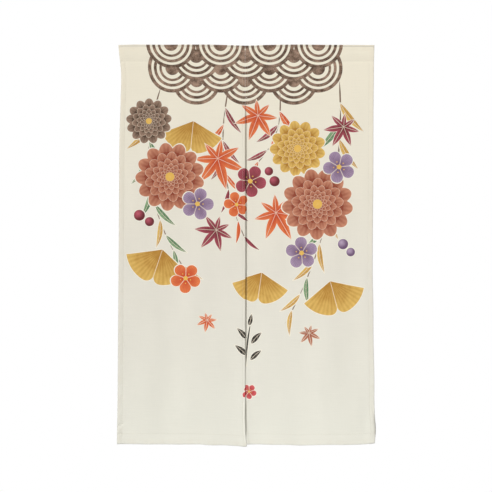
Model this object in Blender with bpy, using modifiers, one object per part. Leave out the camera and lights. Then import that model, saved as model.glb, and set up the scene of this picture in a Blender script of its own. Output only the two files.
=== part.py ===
"""A doorway curtain: two cloth widths under one rod pocket, as they hang.

Metres, +Z up, the front towards -Y. The origin is at the middle of the top edge. "Down" is a height below
the origin, "out" is a distance from the centre line, and "forward" is towards the viewer.
"""

import math
from collections import namedtuple

import bmesh
import bpy
import numpy as np

# Driving dimensions
POCKET_HEIGHT = 0.0580
SLIT_TOP = 0.1860
SIDE_HEM = 0.0190
SLIT_HEM = 0.0100
BOTTOM_HEM = 0.0400
HEM_STEP = 0.0020
CLOTH_THICKNESS = 0.0012
HEM_THICKNESS = 0.0024
SEWN_GAP = 0.0003

# The rod pocket's section: two walls between two tight turns
POCKET_TURN = 0.0024
POCKET_FRONT_SWELL = 0.0012
POCKET_BACK_SWELL = 0.0090
POCKET_TURN_STEPS = 4
POCKET_FRONT_STEPS = 6
POCKET_BACK_STEPS = 8
POCKET_COLUMNS = 28

# The seam under the pocket draws the cloth back, and it comes forward again below
SEAM_DRAW = 0.0018
SEAM_DRAW_FADE = 0.0300

# The slit: the left width's edge lies over the right one's
LAP_FORWARD = 0.0012
LAP_BACK = 0.0040
LAP_REACH = 0.1400
LAP_OVERLAP = 0.0030
LAP_CROSS_START = 0.0800
LAP_CROSS_FULL = 0.2200
LAP_PART_START = 1.3450
LAP_PART_FULL = 1.3700

PANEL_COLUMNS = 20
PANEL_ROWS = 28
CORNER_ROW = 0.0120
HANG_PASSES = 2
MERGE_DISTANCE = 0.00001

CLOTH_COLOUR = (0.745, 0.727, 0.640, 1.0)
HEADING_COLOUR = (0.760, 0.728, 0.620, 1.0)
CLOTH_ROUGHNESS = 0.92

# Side edges: how far out the cloth reaches at each height
Edge = namedtuple("Edge", "down out")
LEFT_EDGE = (
    Edge(0.000, 0.4482),
    Edge(0.030, 0.4455),
    Edge(0.060, 0.4422),
    Edge(0.092, 0.4392),
    Edge(0.190, 0.4401),
    Edge(0.330, 0.4443),
    Edge(0.550, 0.4458),
    Edge(0.780, 0.4474),
    Edge(0.960, 0.4489),
    Edge(1.250, 0.4512),
    Edge(1.405, 0.4535),
)
RIGHT_EDGE = (
    Edge(0.000, 0.4483),
    Edge(0.030, 0.4475),
    Edge(0.062, 0.4468),
    Edge(0.110, 0.4465),
    Edge(0.190, 0.4454),
    Edge(0.330, 0.4448),
    Edge(0.480, 0.4444),
    Edge(0.630, 0.4431),
    Edge(0.830, 0.4427),
    Edge(0.910, 0.4446),
    Edge(1.030, 0.4453),
    Edge(1.170, 0.4484),
    Edge(1.260, 0.4488),
    Edge(1.305, 0.4507),
    Edge(1.340, 0.4539),
    Edge(1.362, 0.4539),
    Edge(1.380, 0.4516),
    Edge(1.405, 0.4503),
)

# Top edge: how far it rises above the origin's height
Rise = namedtuple("Rise", "across up")
TOP_EDGE = (
    Rise(-0.450, -0.0019),
    Rise(-0.400, -0.0004),
    Rise(-0.300, -0.0009),
    Rise(-0.200, -0.0003),
    Rise(-0.125, -0.0006),
    Rise(-0.080, -0.0018),
    Rise(-0.045, -0.0029),
    Rise(-0.010, -0.0041),
    Rise(0.025, -0.0037),
    Rise(0.060, -0.0022),
    Rise(0.100, -0.0013),
    Rise(0.190, -0.0003),
    Rise(0.260, -0.0012),
    Rise(0.340, -0.0014),
    Rise(0.450, -0.0020),
)

# Bottom edges: how far down each width hangs
Hang = namedtuple("Hang", "across down")
LEFT_BOTTOM = (
    Hang(-0.455, 1.3995),
    Hang(-0.400, 1.3993),
    Hang(-0.350, 1.4003),
    Hang(-0.300, 1.4002),
    Hang(-0.250, 1.4007),
    Hang(-0.200, 1.4006),
    Hang(-0.165, 1.4004),
    Hang(-0.120, 1.4037),
    Hang(-0.090, 1.4033),
    Hang(-0.060, 1.4044),
    Hang(-0.020, 1.4074),
    Hang(-0.006, 1.4091),
    Hang(0.001, 1.4078),
    Hang(0.006, 1.4045),
)
RIGHT_BOTTOM = (
    Hang(-0.002, 1.4017),
    Hang(0.035, 1.4005),
    Hang(0.090, 1.4020),
    Hang(0.150, 1.4025),
    Hang(0.180, 1.4044),
    Hang(0.205, 1.4042),
    Hang(0.240, 1.4030),
    Hang(0.290, 1.4018),
    Hang(0.340, 1.4023),
    Hang(0.380, 1.4016),
    Hang(0.420, 1.3999),
    Hang(0.445, 1.3979),
    Hang(0.456, 1.3955),
)

# The slit's line, as the left width's inner edge
Slit = namedtuple("Slit", "down across")
SLIT_LINE = (
    Slit(0.186, -0.0042),
    Slit(0.500, -0.0035),
    Slit(0.780, -0.0032),
    Slit(1.000, -0.0037),
    Slit(1.240, -0.0039),
    Slit(1.310, -0.0046),
    Slit(1.345, -0.0033),
    Slit(1.375, -0.0018),
    Slit(1.390, 0.0003),
    Slit(1.400, 0.0020),
    Slit(1.410, 0.0028),
)

# The slit's lap: the share of its full depth at each height
Lap = namedtuple("Lap", "down share")
SLIT_LAP = (
    Lap(0.186, 0.00),
    Lap(0.215, 0.50),
    Lap(0.250, 1.05),
    Lap(0.320, 1.10),
    Lap(0.600, 1.15),
    Lap(0.900, 1.18),
    Lap(1.040, 1.12),
    Lap(1.090, 0.98),
    Lap(1.150, 0.66),
    Lap(1.220, 0.70),
    Lap(1.300, 1.08),
    Lap(1.345, 1.08),
    Lap(1.368, 0.88),
    Lap(1.388, 0.62),
    Lap(1.410, 0.54),
)

# Soft folds: the crest's line, its reach to each side, where it starts and is full, and how far forward
Fold = namedtuple("Fold", "top_across low_across reach start full forward")
LEFT_FOLDS = (
    Fold(-0.462, -0.474, 0.048, 0.300, 1.100, 0.0014),
    Fold(-0.340, -0.372, 0.050, 0.080, 1.150, 0.0010),
    Fold(-0.250, -0.268, 0.046, 0.160, 1.250, -0.0009),
    Fold(-0.160, -0.172, 0.052, 0.070, 0.950, 0.0008),
    Fold(-0.080, -0.066, 0.036, 0.300, 1.300, -0.0006),
)
RIGHT_FOLDS = (
    Fold(0.070, 0.084, 0.044, 0.250, 1.200, 0.0007),
    Fold(0.150, 0.182, 0.052, 0.080, 1.000, -0.0009),
    Fold(0.270, 0.292, 0.060, 0.120, 1.200, 0.0011),
    Fold(0.360, 0.382, 0.040, 0.400, 1.250, -0.0008),
    Fold(0.416, 0.416, 0.018, 1.200, 1.330, -0.0014),
    Fold(0.466, 0.462, 0.022, 1.180, 1.380, -0.0032),
)


def smooth_step(value, start, full):
    """0 before start, 1 after full, and a soft S between them."""
    share = np.clip((value - start) / (full - start), 0.0, 1.0)
    return share * share * (3.0 - 2.0 * share)


def curve(table, place):
    """The table's second column at a place in its first, on one smooth curve through every row."""
    at = np.array([row[0] for row in table])
    value = np.array([row[1] for row in table])
    slope = np.gradient(value, at)
    place = min(max(place, at[0]), at[-1])
    i = min(max(int(np.searchsorted(at, place)) - 1, 0), len(at) - 2)
    span = at[i + 1] - at[i]
    t = (place - at[i]) / span
    start = (2 * t**3 - 3 * t**2 + 1) * value[i] + (t**3 - 2 * t**2 + t) * span * slope[i]
    end = (3 * t**2 - 2 * t**3) * value[i + 1] + (t**3 - t**2) * span * slope[i + 1]
    return float(start + end)


def fold_depth(folds, across, down):
    """How far forward all the folds together bring the cloth at one place."""
    total = 0.0
    for fold in folds:
        run = smooth_step(down, fold.start, fold.full)
        crest = fold.top_across + (fold.low_across - fold.top_across) * run
        bell = math.exp(-(((across - crest) / fold.reach) ** 2))
        total += fold.forward * run * bell
    return float(total)


def seam_draw(down):
    """How far back the pocket's seam draws the cloth."""
    return SEAM_DRAW * (1.0 - float(smooth_step(down, POCKET_HEIGHT, POCKET_HEIGHT + SEAM_DRAW_FADE)))


def lap(across, down):
    """How much of the slit's lap there is at one place: its share at this height, less away from the slit."""
    from_slit = across - curve(SLIT_LINE, down)
    return curve(SLIT_LAP, down) * math.exp(-((from_slit / LAP_REACH) ** 2))


def overlap(down):
    """How far the right width's edge runs behind the left one's, from below the slit's top to near its end."""
    crossed = smooth_step(down, SLIT_TOP + LAP_CROSS_START, SLIT_TOP + LAP_CROSS_FULL)
    return LAP_OVERLAP * float(crossed * (1.0 - smooth_step(down, LAP_PART_START, LAP_PART_FULL)))


def left_side(down):
    return -curve(LEFT_EDGE, down)


def right_side(down):
    return curve(RIGHT_EDGE, down)


def left_inner(down):
    return curve(SLIT_LINE, down) - SEWN_GAP / 2


def right_inner(down):
    return curve(SLIT_LINE, down) + SEWN_GAP / 2 - overlap(down)


def left_front(across, down):
    """The left width's front face, as a distance behind the origin's plane."""
    forward = fold_depth(LEFT_FOLDS, across, down)
    forward += LAP_FORWARD * lap(across, down)
    return seam_draw(down) - forward


def right_front(across, down):
    """The right width's front face, as a distance behind the origin's plane."""
    forward = fold_depth(RIGHT_FOLDS, across, down)
    forward -= LAP_BACK * lap(across, down)
    return seam_draw(down) - forward


def strips(length, first_hem, last_hem, steps):
    """Places from 0 to length: each hem's edge, the step beside it, and even steps between the hems."""
    field_start = first_hem + HEM_STEP if first_hem else 0.0
    field_end = length - last_hem - HEM_STEP if last_hem else length
    places = list(np.linspace(field_start, field_end, steps + 1))
    if first_hem:
        places = [0.0, first_hem] + places
    if last_hem:
        places = places + [length - last_hem, length]
    return [float(place) for place in places]


def pocket_loop():
    """The pocket's outline as (behind, down): up the front wall, over the fold, down the back, and under."""
    high = POCKET_TURN
    low = POCKET_HEIGHT - POCKET_TURN
    points = []
    for i in range(POCKET_FRONT_STEPS):
        t = i / POCKET_FRONT_STEPS
        points.append((-POCKET_FRONT_SWELL * math.sin(math.pi * t) ** 2, low + (high - low) * t))
    for i in range(POCKET_TURN_STEPS):
        turn = math.pi * i / POCKET_TURN_STEPS
        points.append((POCKET_TURN * (1 - math.cos(turn)), high - POCKET_TURN * math.sin(turn)))
    for i in range(POCKET_BACK_STEPS):
        t = i / POCKET_BACK_STEPS
        behind = 2 * POCKET_TURN + POCKET_BACK_SWELL * math.sin(math.pi * t) ** 2
        points.append((behind, high + (low - high) * t))
    for i in range(POCKET_TURN_STEPS + 1):
        turn = math.pi * i / POCKET_TURN_STEPS
        points.append((POCKET_TURN * (1 + math.cos(turn)), low + POCKET_TURN * math.sin(turn)))
    return points


def cloth_material(name, colour):
    material = bpy.data.materials.new(name)
    material.use_nodes = True
    material.diffuse_color = colour
    shader = material.node_tree.nodes["Principled BSDF"]
    shader.inputs["Base Color"].default_value = colour
    shader.inputs["Roughness"].default_value = CLOTH_ROUGHNESS
    shader.inputs["Metallic"].default_value = 0.0
    return material


def shaped_grid(name, columns, rows, place):
    """A grid whose point in each column and row is moved to place(column, row)."""
    bm = bmesh.new()
    bmesh.ops.create_grid(bm, x_segments=columns, y_segments=rows, size=0.5)
    for vertex in bm.verts:
        column = round((vertex.co.x + 0.5) * columns)
        row = round((vertex.co.y + 0.5) * rows)
        vertex.co = place(column, row)
    bmesh.ops.remove_doubles(bm, verts=bm.verts, dist=MERGE_DISTANCE)
    mesh = bpy.data.meshes.new(name)
    bm.to_mesh(mesh)
    bm.free()
    mesh.shade_smooth()
    return bpy.data.objects.new(name, mesh)


def thicken(piece, thickness):
    """Gives the cloth its thickness behind the face that shows."""
    solidify = piece.modifiers.new("thickness", "SOLIDIFY")
    solidify.thickness = thickness
    solidify.offset = -1.0
    return solidify


def add_panel(name, sides, hems, front, bottom):
    """One width: its front face as a grid from the left side to the right, thicker behind in its hems."""
    left, right = sides
    first_hem, last_hem = hems
    top = POCKET_HEIGHT + SEWN_GAP
    width = right(SLIT_TOP) - left(SLIT_TOP)
    length = curve(bottom, (right(SLIT_TOP) + left(SLIT_TOP)) / 2) - top
    across_places = strips(width, first_hem, last_hem, PANEL_COLUMNS)
    up_places = strips(length, BOTTOM_HEM, 0.0, PANEL_ROWS)
    up_places.insert(1, CORNER_ROW)

    def place(column, row):
        share = across_places[column] / width
        raised = up_places[row] / length
        hang = length + top
        for _ in range(HANG_PASSES):
            across = left(hang) + (right(hang) - left(hang)) * share
            hang = curve(bottom, across)
        down = hang - (hang - top) * raised
        across = left(down) + (right(down) - left(down)) * share
        return across, front(across, down), -down

    piece = shaped_grid(name, len(across_places) - 1, len(up_places) - 1, place)
    hem = piece.vertex_groups.new(name="hem")
    row_length = len(across_places)
    for index in range(len(piece.data.vertices)):
        row, column = divmod(index, row_length)
        to_hem = min(across_places[column] - first_hem, width - across_places[column] - last_hem)
        if min(to_hem, up_places[row] - BOTTOM_HEM) < HEM_STEP / 2:
            hem.add([index], 1.0, "REPLACE")
    solidify = thicken(piece, HEM_THICKNESS)
    solidify.vertex_group = hem.name
    solidify.thickness_vertex_group = CLOTH_THICKNESS / HEM_THICKNESS
    return piece


def add_heading():
    """The rod pocket: its section carried from one side to the other, open at both ends."""
    loop = pocket_loop()

    def place(column, row):
        behind, down = loop[row]
        share = column / POCKET_COLUMNS
        across = left_side(down) + (right_side(down) - left_side(down)) * share
        rise = curve(TOP_EDGE, across) * (1.0 - down / POCKET_HEIGHT)
        return across, behind, rise - down

    piece = shaped_grid("heading", POCKET_COLUMNS, len(loop) - 1, place)
    thicken(piece, CLOTH_THICKNESS)
    return piece


def main():
    for old in list(bpy.data.objects):
        bpy.data.objects.remove(old, do_unlink=True)
    curtain = bpy.data.collections.new("door_curtain")
    bpy.context.scene.collection.children.link(curtain)
    cloth = cloth_material("cream_cloth", CLOTH_COLOUR)
    pocket_cloth = cloth_material("cream_pocket_cloth", HEADING_COLOUR)
    left_panel = add_panel(
        "panel_left", (left_side, left_inner), (SIDE_HEM, SLIT_HEM), left_front, LEFT_BOTTOM
    )
    right_panel = add_panel(
        "panel_right", (right_inner, right_side), (SLIT_HEM, SIDE_HEM), right_front, RIGHT_BOTTOM
    )
    for piece, material in ((add_heading(), pocket_cloth), (left_panel, cloth), (right_panel, cloth)):
        piece.data.materials.append(material)
        curtain.objects.link(piece)


main()
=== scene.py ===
"""A cloth doorway curtain in two printed widths, with its hems and sewing, in a plain studio.

The file is laid out as a Blender add-on and is run as a script. Metres, +Z up, the front towards -Y.
"Across" is +X from the centre line, "down" is a height below the origin, and "behind" is +Y. "Flat" places
are measured along the cloth as if it were opened out, from the centre line and from the top fold.
"""

import math
from collections import namedtuple

import bpy
import numpy as np
from bpy.props import FloatProperty, FloatVectorProperty, PointerProperty
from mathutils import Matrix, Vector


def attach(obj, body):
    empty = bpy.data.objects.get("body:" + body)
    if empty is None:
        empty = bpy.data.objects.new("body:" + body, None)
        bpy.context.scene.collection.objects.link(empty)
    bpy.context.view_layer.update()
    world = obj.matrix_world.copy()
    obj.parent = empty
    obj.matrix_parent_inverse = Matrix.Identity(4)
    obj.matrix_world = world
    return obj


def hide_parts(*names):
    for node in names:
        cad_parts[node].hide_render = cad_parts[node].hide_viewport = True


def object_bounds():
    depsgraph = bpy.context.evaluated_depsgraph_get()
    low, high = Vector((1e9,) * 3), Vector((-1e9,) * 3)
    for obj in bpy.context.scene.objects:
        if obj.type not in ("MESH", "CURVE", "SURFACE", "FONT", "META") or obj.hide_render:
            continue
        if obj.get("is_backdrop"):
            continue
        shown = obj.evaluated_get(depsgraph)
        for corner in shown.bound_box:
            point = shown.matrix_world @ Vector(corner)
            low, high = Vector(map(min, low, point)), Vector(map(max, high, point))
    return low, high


bl_info = {
    "name": "Doorway Curtain",
    "version": (1, 0, 0),
    "blender": (4, 5, 0),
    "location": "3D View > Sidebar > Curtain",
    "description": "Builds a printed doorway curtain of two widths with its hems and sewing",
    "category": "Add Mesh",
}

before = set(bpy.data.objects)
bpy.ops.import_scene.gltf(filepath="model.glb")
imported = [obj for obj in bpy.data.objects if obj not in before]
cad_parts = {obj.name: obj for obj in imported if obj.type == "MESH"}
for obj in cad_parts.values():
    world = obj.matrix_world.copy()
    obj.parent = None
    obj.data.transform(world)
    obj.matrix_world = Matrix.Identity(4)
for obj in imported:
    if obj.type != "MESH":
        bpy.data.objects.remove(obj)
CAD_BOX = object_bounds()

# The hanging shape, as the solids have it
POCKET_HEIGHT = 0.0580
SLIT_TOP = 0.1860
SIDE_HEM = 0.0190
SLIT_HEM = 0.0100
BOTTOM_HEM = 0.0400
POCKET_TURN = 0.0024
POCKET_FRONT_SWELL = 0.0012
POCKET_BACK_SWELL = 0.0090
SEWN_GAP = 0.0003
LAP_FORWARD = 0.0012
LAP_BACK = 0.0040
LAP_REACH = 0.1400
LAP_OVERLAP = 0.0030
LAP_CROSS_START = 0.0800
LAP_CROSS_FULL = 0.2200
LAP_PART_START = 1.3450
LAP_PART_FULL = 1.3700
HANG_PASSES = 3

# Side edges, as (down, how far out the cloth reaches)
LEFT_EDGE = (
    (0.000, 0.4482), (0.030, 0.4455), (0.060, 0.4422), (0.092, 0.4392), (0.190, 0.4401), (0.330, 0.4443),
    (0.550, 0.4458), (0.780, 0.4474), (0.960, 0.4489), (1.250, 0.4512), (1.405, 0.4535),
)
RIGHT_EDGE = (
    (0.000, 0.4483), (0.030, 0.4475), (0.062, 0.4468), (0.110, 0.4465), (0.190, 0.4454), (0.330, 0.4448),
    (0.480, 0.4444), (0.630, 0.4431), (0.830, 0.4427), (0.910, 0.4446), (1.030, 0.4453), (1.170, 0.4484),
    (1.260, 0.4488), (1.305, 0.4507), (1.340, 0.4539), (1.362, 0.4539), (1.380, 0.4516), (1.405, 0.4503),
)

# Top edge, as (across, up)
TOP_EDGE = (
    (-0.450, -0.0019), (-0.400, -0.0004), (-0.300, -0.0009), (-0.200, -0.0003), (-0.125, -0.0006),
    (-0.080, -0.0018), (-0.045, -0.0029), (-0.010, -0.0041), (0.025, -0.0037), (0.060, -0.0022),
    (0.100, -0.0013), (0.190, -0.0003), (0.260, -0.0012), (0.340, -0.0014), (0.450, -0.0020),
)

# Bottom edges, as (across, down)
LEFT_BOTTOM = (
    (-0.455, 1.3995), (-0.400, 1.3993), (-0.350, 1.4003), (-0.300, 1.4002), (-0.250, 1.4007),
    (-0.200, 1.4006), (-0.165, 1.4004), (-0.120, 1.4037), (-0.090, 1.4033), (-0.060, 1.4044),
    (-0.020, 1.4074), (-0.006, 1.4091), (0.001, 1.4078), (0.006, 1.4045),
)
RIGHT_BOTTOM = (
    (-0.002, 1.4017), (0.035, 1.4005), (0.090, 1.4020), (0.150, 1.4025), (0.180, 1.4044), (0.205, 1.4042),
    (0.240, 1.4030), (0.290, 1.4018), (0.340, 1.4023), (0.380, 1.4016), (0.420, 1.3999), (0.445, 1.3979),
    (0.456, 1.3955),
)

# The slit's line, as (down, across)
SLIT_LINE = (
    (0.186, -0.0042), (0.500, -0.0035), (0.780, -0.0032), (1.000, -0.0037), (1.240, -0.0039),
    (1.310, -0.0046), (1.345, -0.0033), (1.375, -0.0018), (1.390, 0.0003), (1.400, 0.0020), (1.410, 0.0028),
)

# The slit's lap, as (down, share of its full depth)
SLIT_LAP = (
    (0.186, 0.00), (0.215, 0.50), (0.250, 1.05), (0.320, 1.10), (0.600, 1.15), (0.900, 1.18), (1.040, 1.12),
    (1.090, 0.98), (1.150, 0.66), (1.220, 0.70), (1.300, 1.08), (1.345, 1.08), (1.368, 0.88), (1.388, 0.62),
    (1.410, 0.54),
)

# Soft folds: the crest's line, its reach to each side, where it starts and is full, and how far forward
Fold = namedtuple("Fold", "top_across low_across reach start full forward")
LEFT_FOLDS = (
    Fold(-0.462, -0.474, 0.048, 0.300, 1.100, 0.0014),
    Fold(-0.340, -0.372, 0.050, 0.080, 1.150, 0.0010),
    Fold(-0.250, -0.268, 0.046, 0.160, 1.250, -0.0009),
    Fold(-0.160, -0.172, 0.052, 0.070, 0.950, 0.0008),
    Fold(-0.080, -0.066, 0.036, 0.300, 1.300, -0.0006),
)
RIGHT_FOLDS = (
    Fold(0.070, 0.084, 0.044, 0.250, 1.200, 0.0007),
    Fold(0.150, 0.182, 0.052, 0.080, 1.000, -0.0009),
    Fold(0.270, 0.292, 0.060, 0.120, 1.200, 0.0011),
    Fold(0.360, 0.382, 0.040, 0.400, 1.250, -0.0008),
    Fold(0.416, 0.416, 0.018, 1.200, 1.330, -0.0014),
    Fold(0.466, 0.462, 0.022, 1.180, 1.380, -0.0032),
)

# Fine relief of the cloth's face. A ripple is a wave over the whole cloth, full at a height below the top.
Ripple = namedtuple("Ripple", "length lean phase forward")
RIPPLES = (
    Ripple(0.121, 0.10, 0.4, 0.00022),
    Ripple(0.067, -0.16, 2.1, 0.00010),
    Ripple(0.190, 0.55, 4.0, 0.00026),
)
RIPPLES_FULL = 0.4
# A pucker is a short slanting trough, most of them in the side hem, where the hem's sewing draws the cloth
Pucker = namedtuple("Pucker", "from_side down slope length reach forward")
LEFT_PUCKERS = (
    Pucker(0.068, 0.031, 0.0, 0.007, 0.0040, -0.00060),
    Pucker(0.008, 0.060, -0.4, 0.008, 0.0025, -0.00050),
    Pucker(0.009, 0.078, -0.4, 0.008, 0.0025, -0.00045),
    Pucker(0.010, 0.868, -0.5, 0.010, 0.0026, -0.00065),
    Pucker(0.010, 0.959, -0.6, 0.009, 0.0022, -0.00045),
    Pucker(0.011, 1.001, -0.5, 0.011, 0.0028, -0.00075),
    Pucker(0.009, 1.054, -0.4, 0.010, 0.0026, -0.00075),
    Pucker(0.010, 1.078, -0.6, 0.008, 0.0020, -0.00048),
    Pucker(0.010, 1.124, -0.5, 0.010, 0.0026, -0.00075),
    Pucker(0.011, 1.190, -0.4, 0.011, 0.0026, -0.00070),
    Pucker(0.010, 1.236, -0.5, 0.010, 0.0026, -0.00070),
    Pucker(0.006, 1.335, -0.45, 0.018, 0.0042, -0.00220),
    Pucker(0.010, 1.362, -0.3, 0.012, 0.0030, -0.00070),
)
RIGHT_PUCKERS = (
    Pucker(0.052, 0.0225, 0.0, 0.036, 0.0036, -0.00070),
    Pucker(0.004, 0.060, -0.4, 0.007, 0.0025, -0.00050),
    Pucker(0.010, 0.182, -0.8, 0.008, 0.0020, -0.00024),
    Pucker(0.010, 0.634, -0.9, 0.008, 0.0020, -0.00020),
    Pucker(0.011, 1.022, -0.8, 0.009, 0.0022, -0.00026),
    Pucker(0.010, 1.262, -1.0, 0.012, 0.0024, -0.00040),
    Pucker(0.013, 1.316, -0.8, 0.014, 0.0028, -0.00050),
)
# A roll bends the cloth back or forward along an edge, growing in and fading out between heights
Roll = namedtuple("Roll", "start full down_full down_end reach forward")
LEFT_ROLL = Roll(-0.020, -0.010, 1.500, 1.600, 0.0026, -0.0004)
LEFT_HEM_LIFT = Roll(0.080, 0.200, 1.500, 1.600, 0.0140, 0.0008)
RIGHT_ROLL = Roll(-0.020, -0.010, 1.500, 1.600, 0.0026, -0.0002)
CURL_ROLL = Roll(1.285, 1.315, 1.350, 1.384, 0.0030, -0.0034)
LEFT_SLIT_ROLL = Roll(0.200, 0.260, 1.180, 1.260, 0.0022, -0.0003)
LEFT_SLIT_LIFT = Roll(1.180, 1.260, 1.440, 1.480, 0.0042, 0.0008)
RIGHT_SLIT_ROLL = Roll(0.200, 0.260, 1.340, 1.410, 0.0022, -0.0004)
RIGHT_SLIT_LIFT = Roll(0.700, 0.900, 1.500, 1.600, 0.0130, 0.0004)
RIGHT_SLIT_CLOSE = Roll(1.110, 1.150, 1.185, 1.235, 0.0130, 0.0005)
RIGHT_LOW_LIFT = Roll(1.290, 1.345, 1.500, 1.600, 0.0100, 0.0016)
# How far below the top fold the line of painted shade runs
TOP_SHADE_DROP = 0.0064
BOTTOM_ROLL_REACH = 0.0030
BOTTOM_ROLL = -0.0009
HOOK_ACROSS = 0.0034
HOOK_UP = 0.0080
HOOK = -0.0030
SEAM_DIP = 0.0009
SEAM_DIP_REACH = 0.0065
GATHER_LENGTH = 0.0130
GATHER_DEPTH = 0.00030
GATHER_REACH = 0.0090
GATHERS_END = 0.1500
GATHERS_FULL = 0.0100
SEAM_BLEND = 0.0010
STITCH_DIP = 0.00022
STITCH_DIP_REACH = 0.0016
SLIT_TENSION = 0.0007
SLIT_TENSION_REACH = 0.0160
SLIT_TENSION_DROP = 0.0120
CORNER_BLEND = 0.0130
# How many fold radii the corners add to the distances of a hem across and of its tuck
CORNER_HEM, CORNER_TUCK = 6, 2

# Where the hems are sewn, and where the back of the pocket ends
SIDE_SEWING = SIDE_HEM - 0.0020
SLIT_SEWING = SLIT_HEM - 0.0015
BOTTOM_SEWING = BOTTOM_HEM - 0.0020
POCKET_END = POCKET_HEIGHT + 0.0022

# The mesh: steps round a turn and across a tuck, a hem and the pocket's back, and where its cells are finer
TURN_STEPS = 6
TUCK_STEPS = 3
HEM_STEPS = 5
POCKET_STEPS = 12
FINE_STEP = 0.0014
FINE_PUCKER = 0.0005
FINE_COLUMNS = 0.0035
FINE_ROWS = 0.0055
FINE_POCKET_ROWS = 0.0040
DENSITY_SAMPLES = 4000
MEAN_PLACE = -0.2
BACK_CLOSING = 0.25
BACK_SWELL_SPAN = 1.08

TAU = 2 * math.pi


# Sizes and colours that a user would change


class CurtainCloth(bpy.types.PropertyGroup):
    """The cloth's own sizes and its ground colour."""

    thickness: FloatProperty(
        name="Thickness", description="Thickness of one layer", default=0.0005, min=0.0002, unit="LENGTH"
    )
    fold_radius: FloatProperty(
        name="Fold Radius", description="Radius of a hem's turn", default=0.00065, min=0.0003, unit="LENGTH"
    )
    tuck: FloatProperty(
        name="Tuck", description="Width of the raw edge inside each hem", default=0.0080, unit="LENGTH"
    )
    cell: FloatProperty(
        name="Cell", description="Size of the mesh's cells in the open cloth", default=0.0058, unit="LENGTH"
    )
    weave_pitch: FloatProperty(
        name="Weave Pitch", description="Distance between two threads", default=0.00070, unit="LENGTH"
    )
    top_colour: FloatVectorProperty(
        name="Top Colour", description="Ground at the top", subtype="COLOR", default=(0.880, 0.818, 0.668)
    )
    middle_colour: FloatVectorProperty(
        name="Middle Colour", description="Ground half-way", subtype="COLOR", default=(0.782, 0.748, 0.656)
    )
    low_colour: FloatVectorProperty(
        name="Low Colour", description="Ground at the bottom", subtype="COLOR", default=(0.768, 0.755, 0.665)
    )


class CurtainPrint(bpy.types.PropertyGroup):
    """The printed design's strength and its border round every figure."""

    strength: FloatProperty(
        name="Strength", description="How much the ink covers the cloth", default=0.97, min=0.0, max=1.0
    )
    show_through: FloatProperty(
        name="Show Through", description="How much ink shows on the back", default=0.14, min=0.0, max=1.0
    )
    halo: FloatProperty(
        name="Pale Border", description="Unprinted border round a figure", default=0.0034, unit="LENGTH"
    )
    halo_colour: FloatVectorProperty(
        name="Border Colour", description="Border's colour", subtype="COLOR", default=(0.880, 0.840, 0.720)
    )


class CurtainSewing(bpy.types.PropertyGroup):
    """The sewing thread and its stitches."""

    thread_radius: FloatProperty(
        name="Thread Radius", description="Radius of the sewing thread", default=0.00026, unit="LENGTH"
    )
    stitch: FloatProperty(name="Stitch", description="Length of one stitch", default=0.0027, unit="LENGTH")
    pitch: FloatProperty(
        name="Pitch", description="Distance from one stitch to the next", default=0.0033, unit="LENGTH"
    )
    colour: FloatVectorProperty(
        name="Thread Colour", description="Thread's colour", subtype="COLOR", default=(0.740, 0.700, 0.580)
    )


class CurtainStudio(bpy.types.PropertyGroup):
    """The studio's light, floor and camera."""

    surround: FloatProperty(
        name="Surround", description="Light from the white room all round", default=0.30, min=0.0
    )
    key_strength: FloatProperty(
        name="Key Light", description="Soft light from the upper left", default=2.79, min=0.0
    )
    key_angle: FloatProperty(
        name="Key Softness", description="How wide the far lights look", default=0.15, subtype="ANGLE"
    )
    fill_power: FloatProperty(
        name="Fill Light", description="Watts of the soft light at the right", default=4.0, min=0.0
    )
    back_strength: FloatProperty(
        name="Back Light", description="Soft light on the curtain's back", default=1.95, min=0.0
    )
    lens: FloatProperty(name="Lens", description="Focal length in millimetres", default=100.0, min=20.0)
    distance: FloatProperty(
        name="Camera Distance", description="From the camera to the cloth", default=4.783, unit="LENGTH"
    )
    floor_drop: FloatProperty(
        name="Floor", description="How far the floor lies below the top edge", default=2.000, unit="LENGTH"
    )


# The shape of the hanging cloth


def smooth_step(value, start, full):
    """0 before start, 1 after full, and a soft S between them."""
    share = np.clip((value - start) / (full - start), 0.0, 1.0)
    return share * share * (3.0 - 2.0 * share)


def curve(table, place):
    """The table's second column at places in its first.

    Between two rows it is a cubic whose slope at each of them is the table's mean slope there.
    """
    at, value = np.array(table).T
    slope = np.gradient(value, at)
    place = np.clip(place, at[0], at[-1])
    i = np.clip(np.searchsorted(at, place) - 1, 0, len(at) - 2)
    span = at[i + 1] - at[i]
    t = (place - at[i]) / span
    start = (2 * t**3 - 3 * t**2 + 1) * value[i] + (t**3 - 2 * t**2 + t) * span * slope[i]
    end = (3 * t**2 - 2 * t**3) * value[i + 1] + (t**3 - t**2) * span * slope[i + 1]
    return start + end


def bell(distance, reach):
    """1 at no distance, falling to either side as a bell that has nearly gone at twice its reach."""
    return np.exp(-((distance / reach) ** 2))


def overlap(down):
    """How far the right width's edge runs behind the left one's: soft at the slit's top and at its end."""
    crossed = smooth_step(down, SLIT_TOP + LAP_CROSS_START, SLIT_TOP + LAP_CROSS_FULL)
    return LAP_OVERLAP * crossed * (1.0 - smooth_step(down, LAP_PART_START, LAP_PART_FULL))


# The sides of the widths at a height: the edge tables outside, and inside the slit's line and the seam's gap


def left_side(down):
    return -curve(LEFT_EDGE, down)


def right_side(down):
    return curve(RIGHT_EDGE, down)


def left_inner(down):
    return curve(SLIT_LINE, down) - SEWN_GAP / 2


def right_inner(down):
    return curve(SLIT_LINE, down) + SEWN_GAP / 2 - overlap(down)


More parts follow.
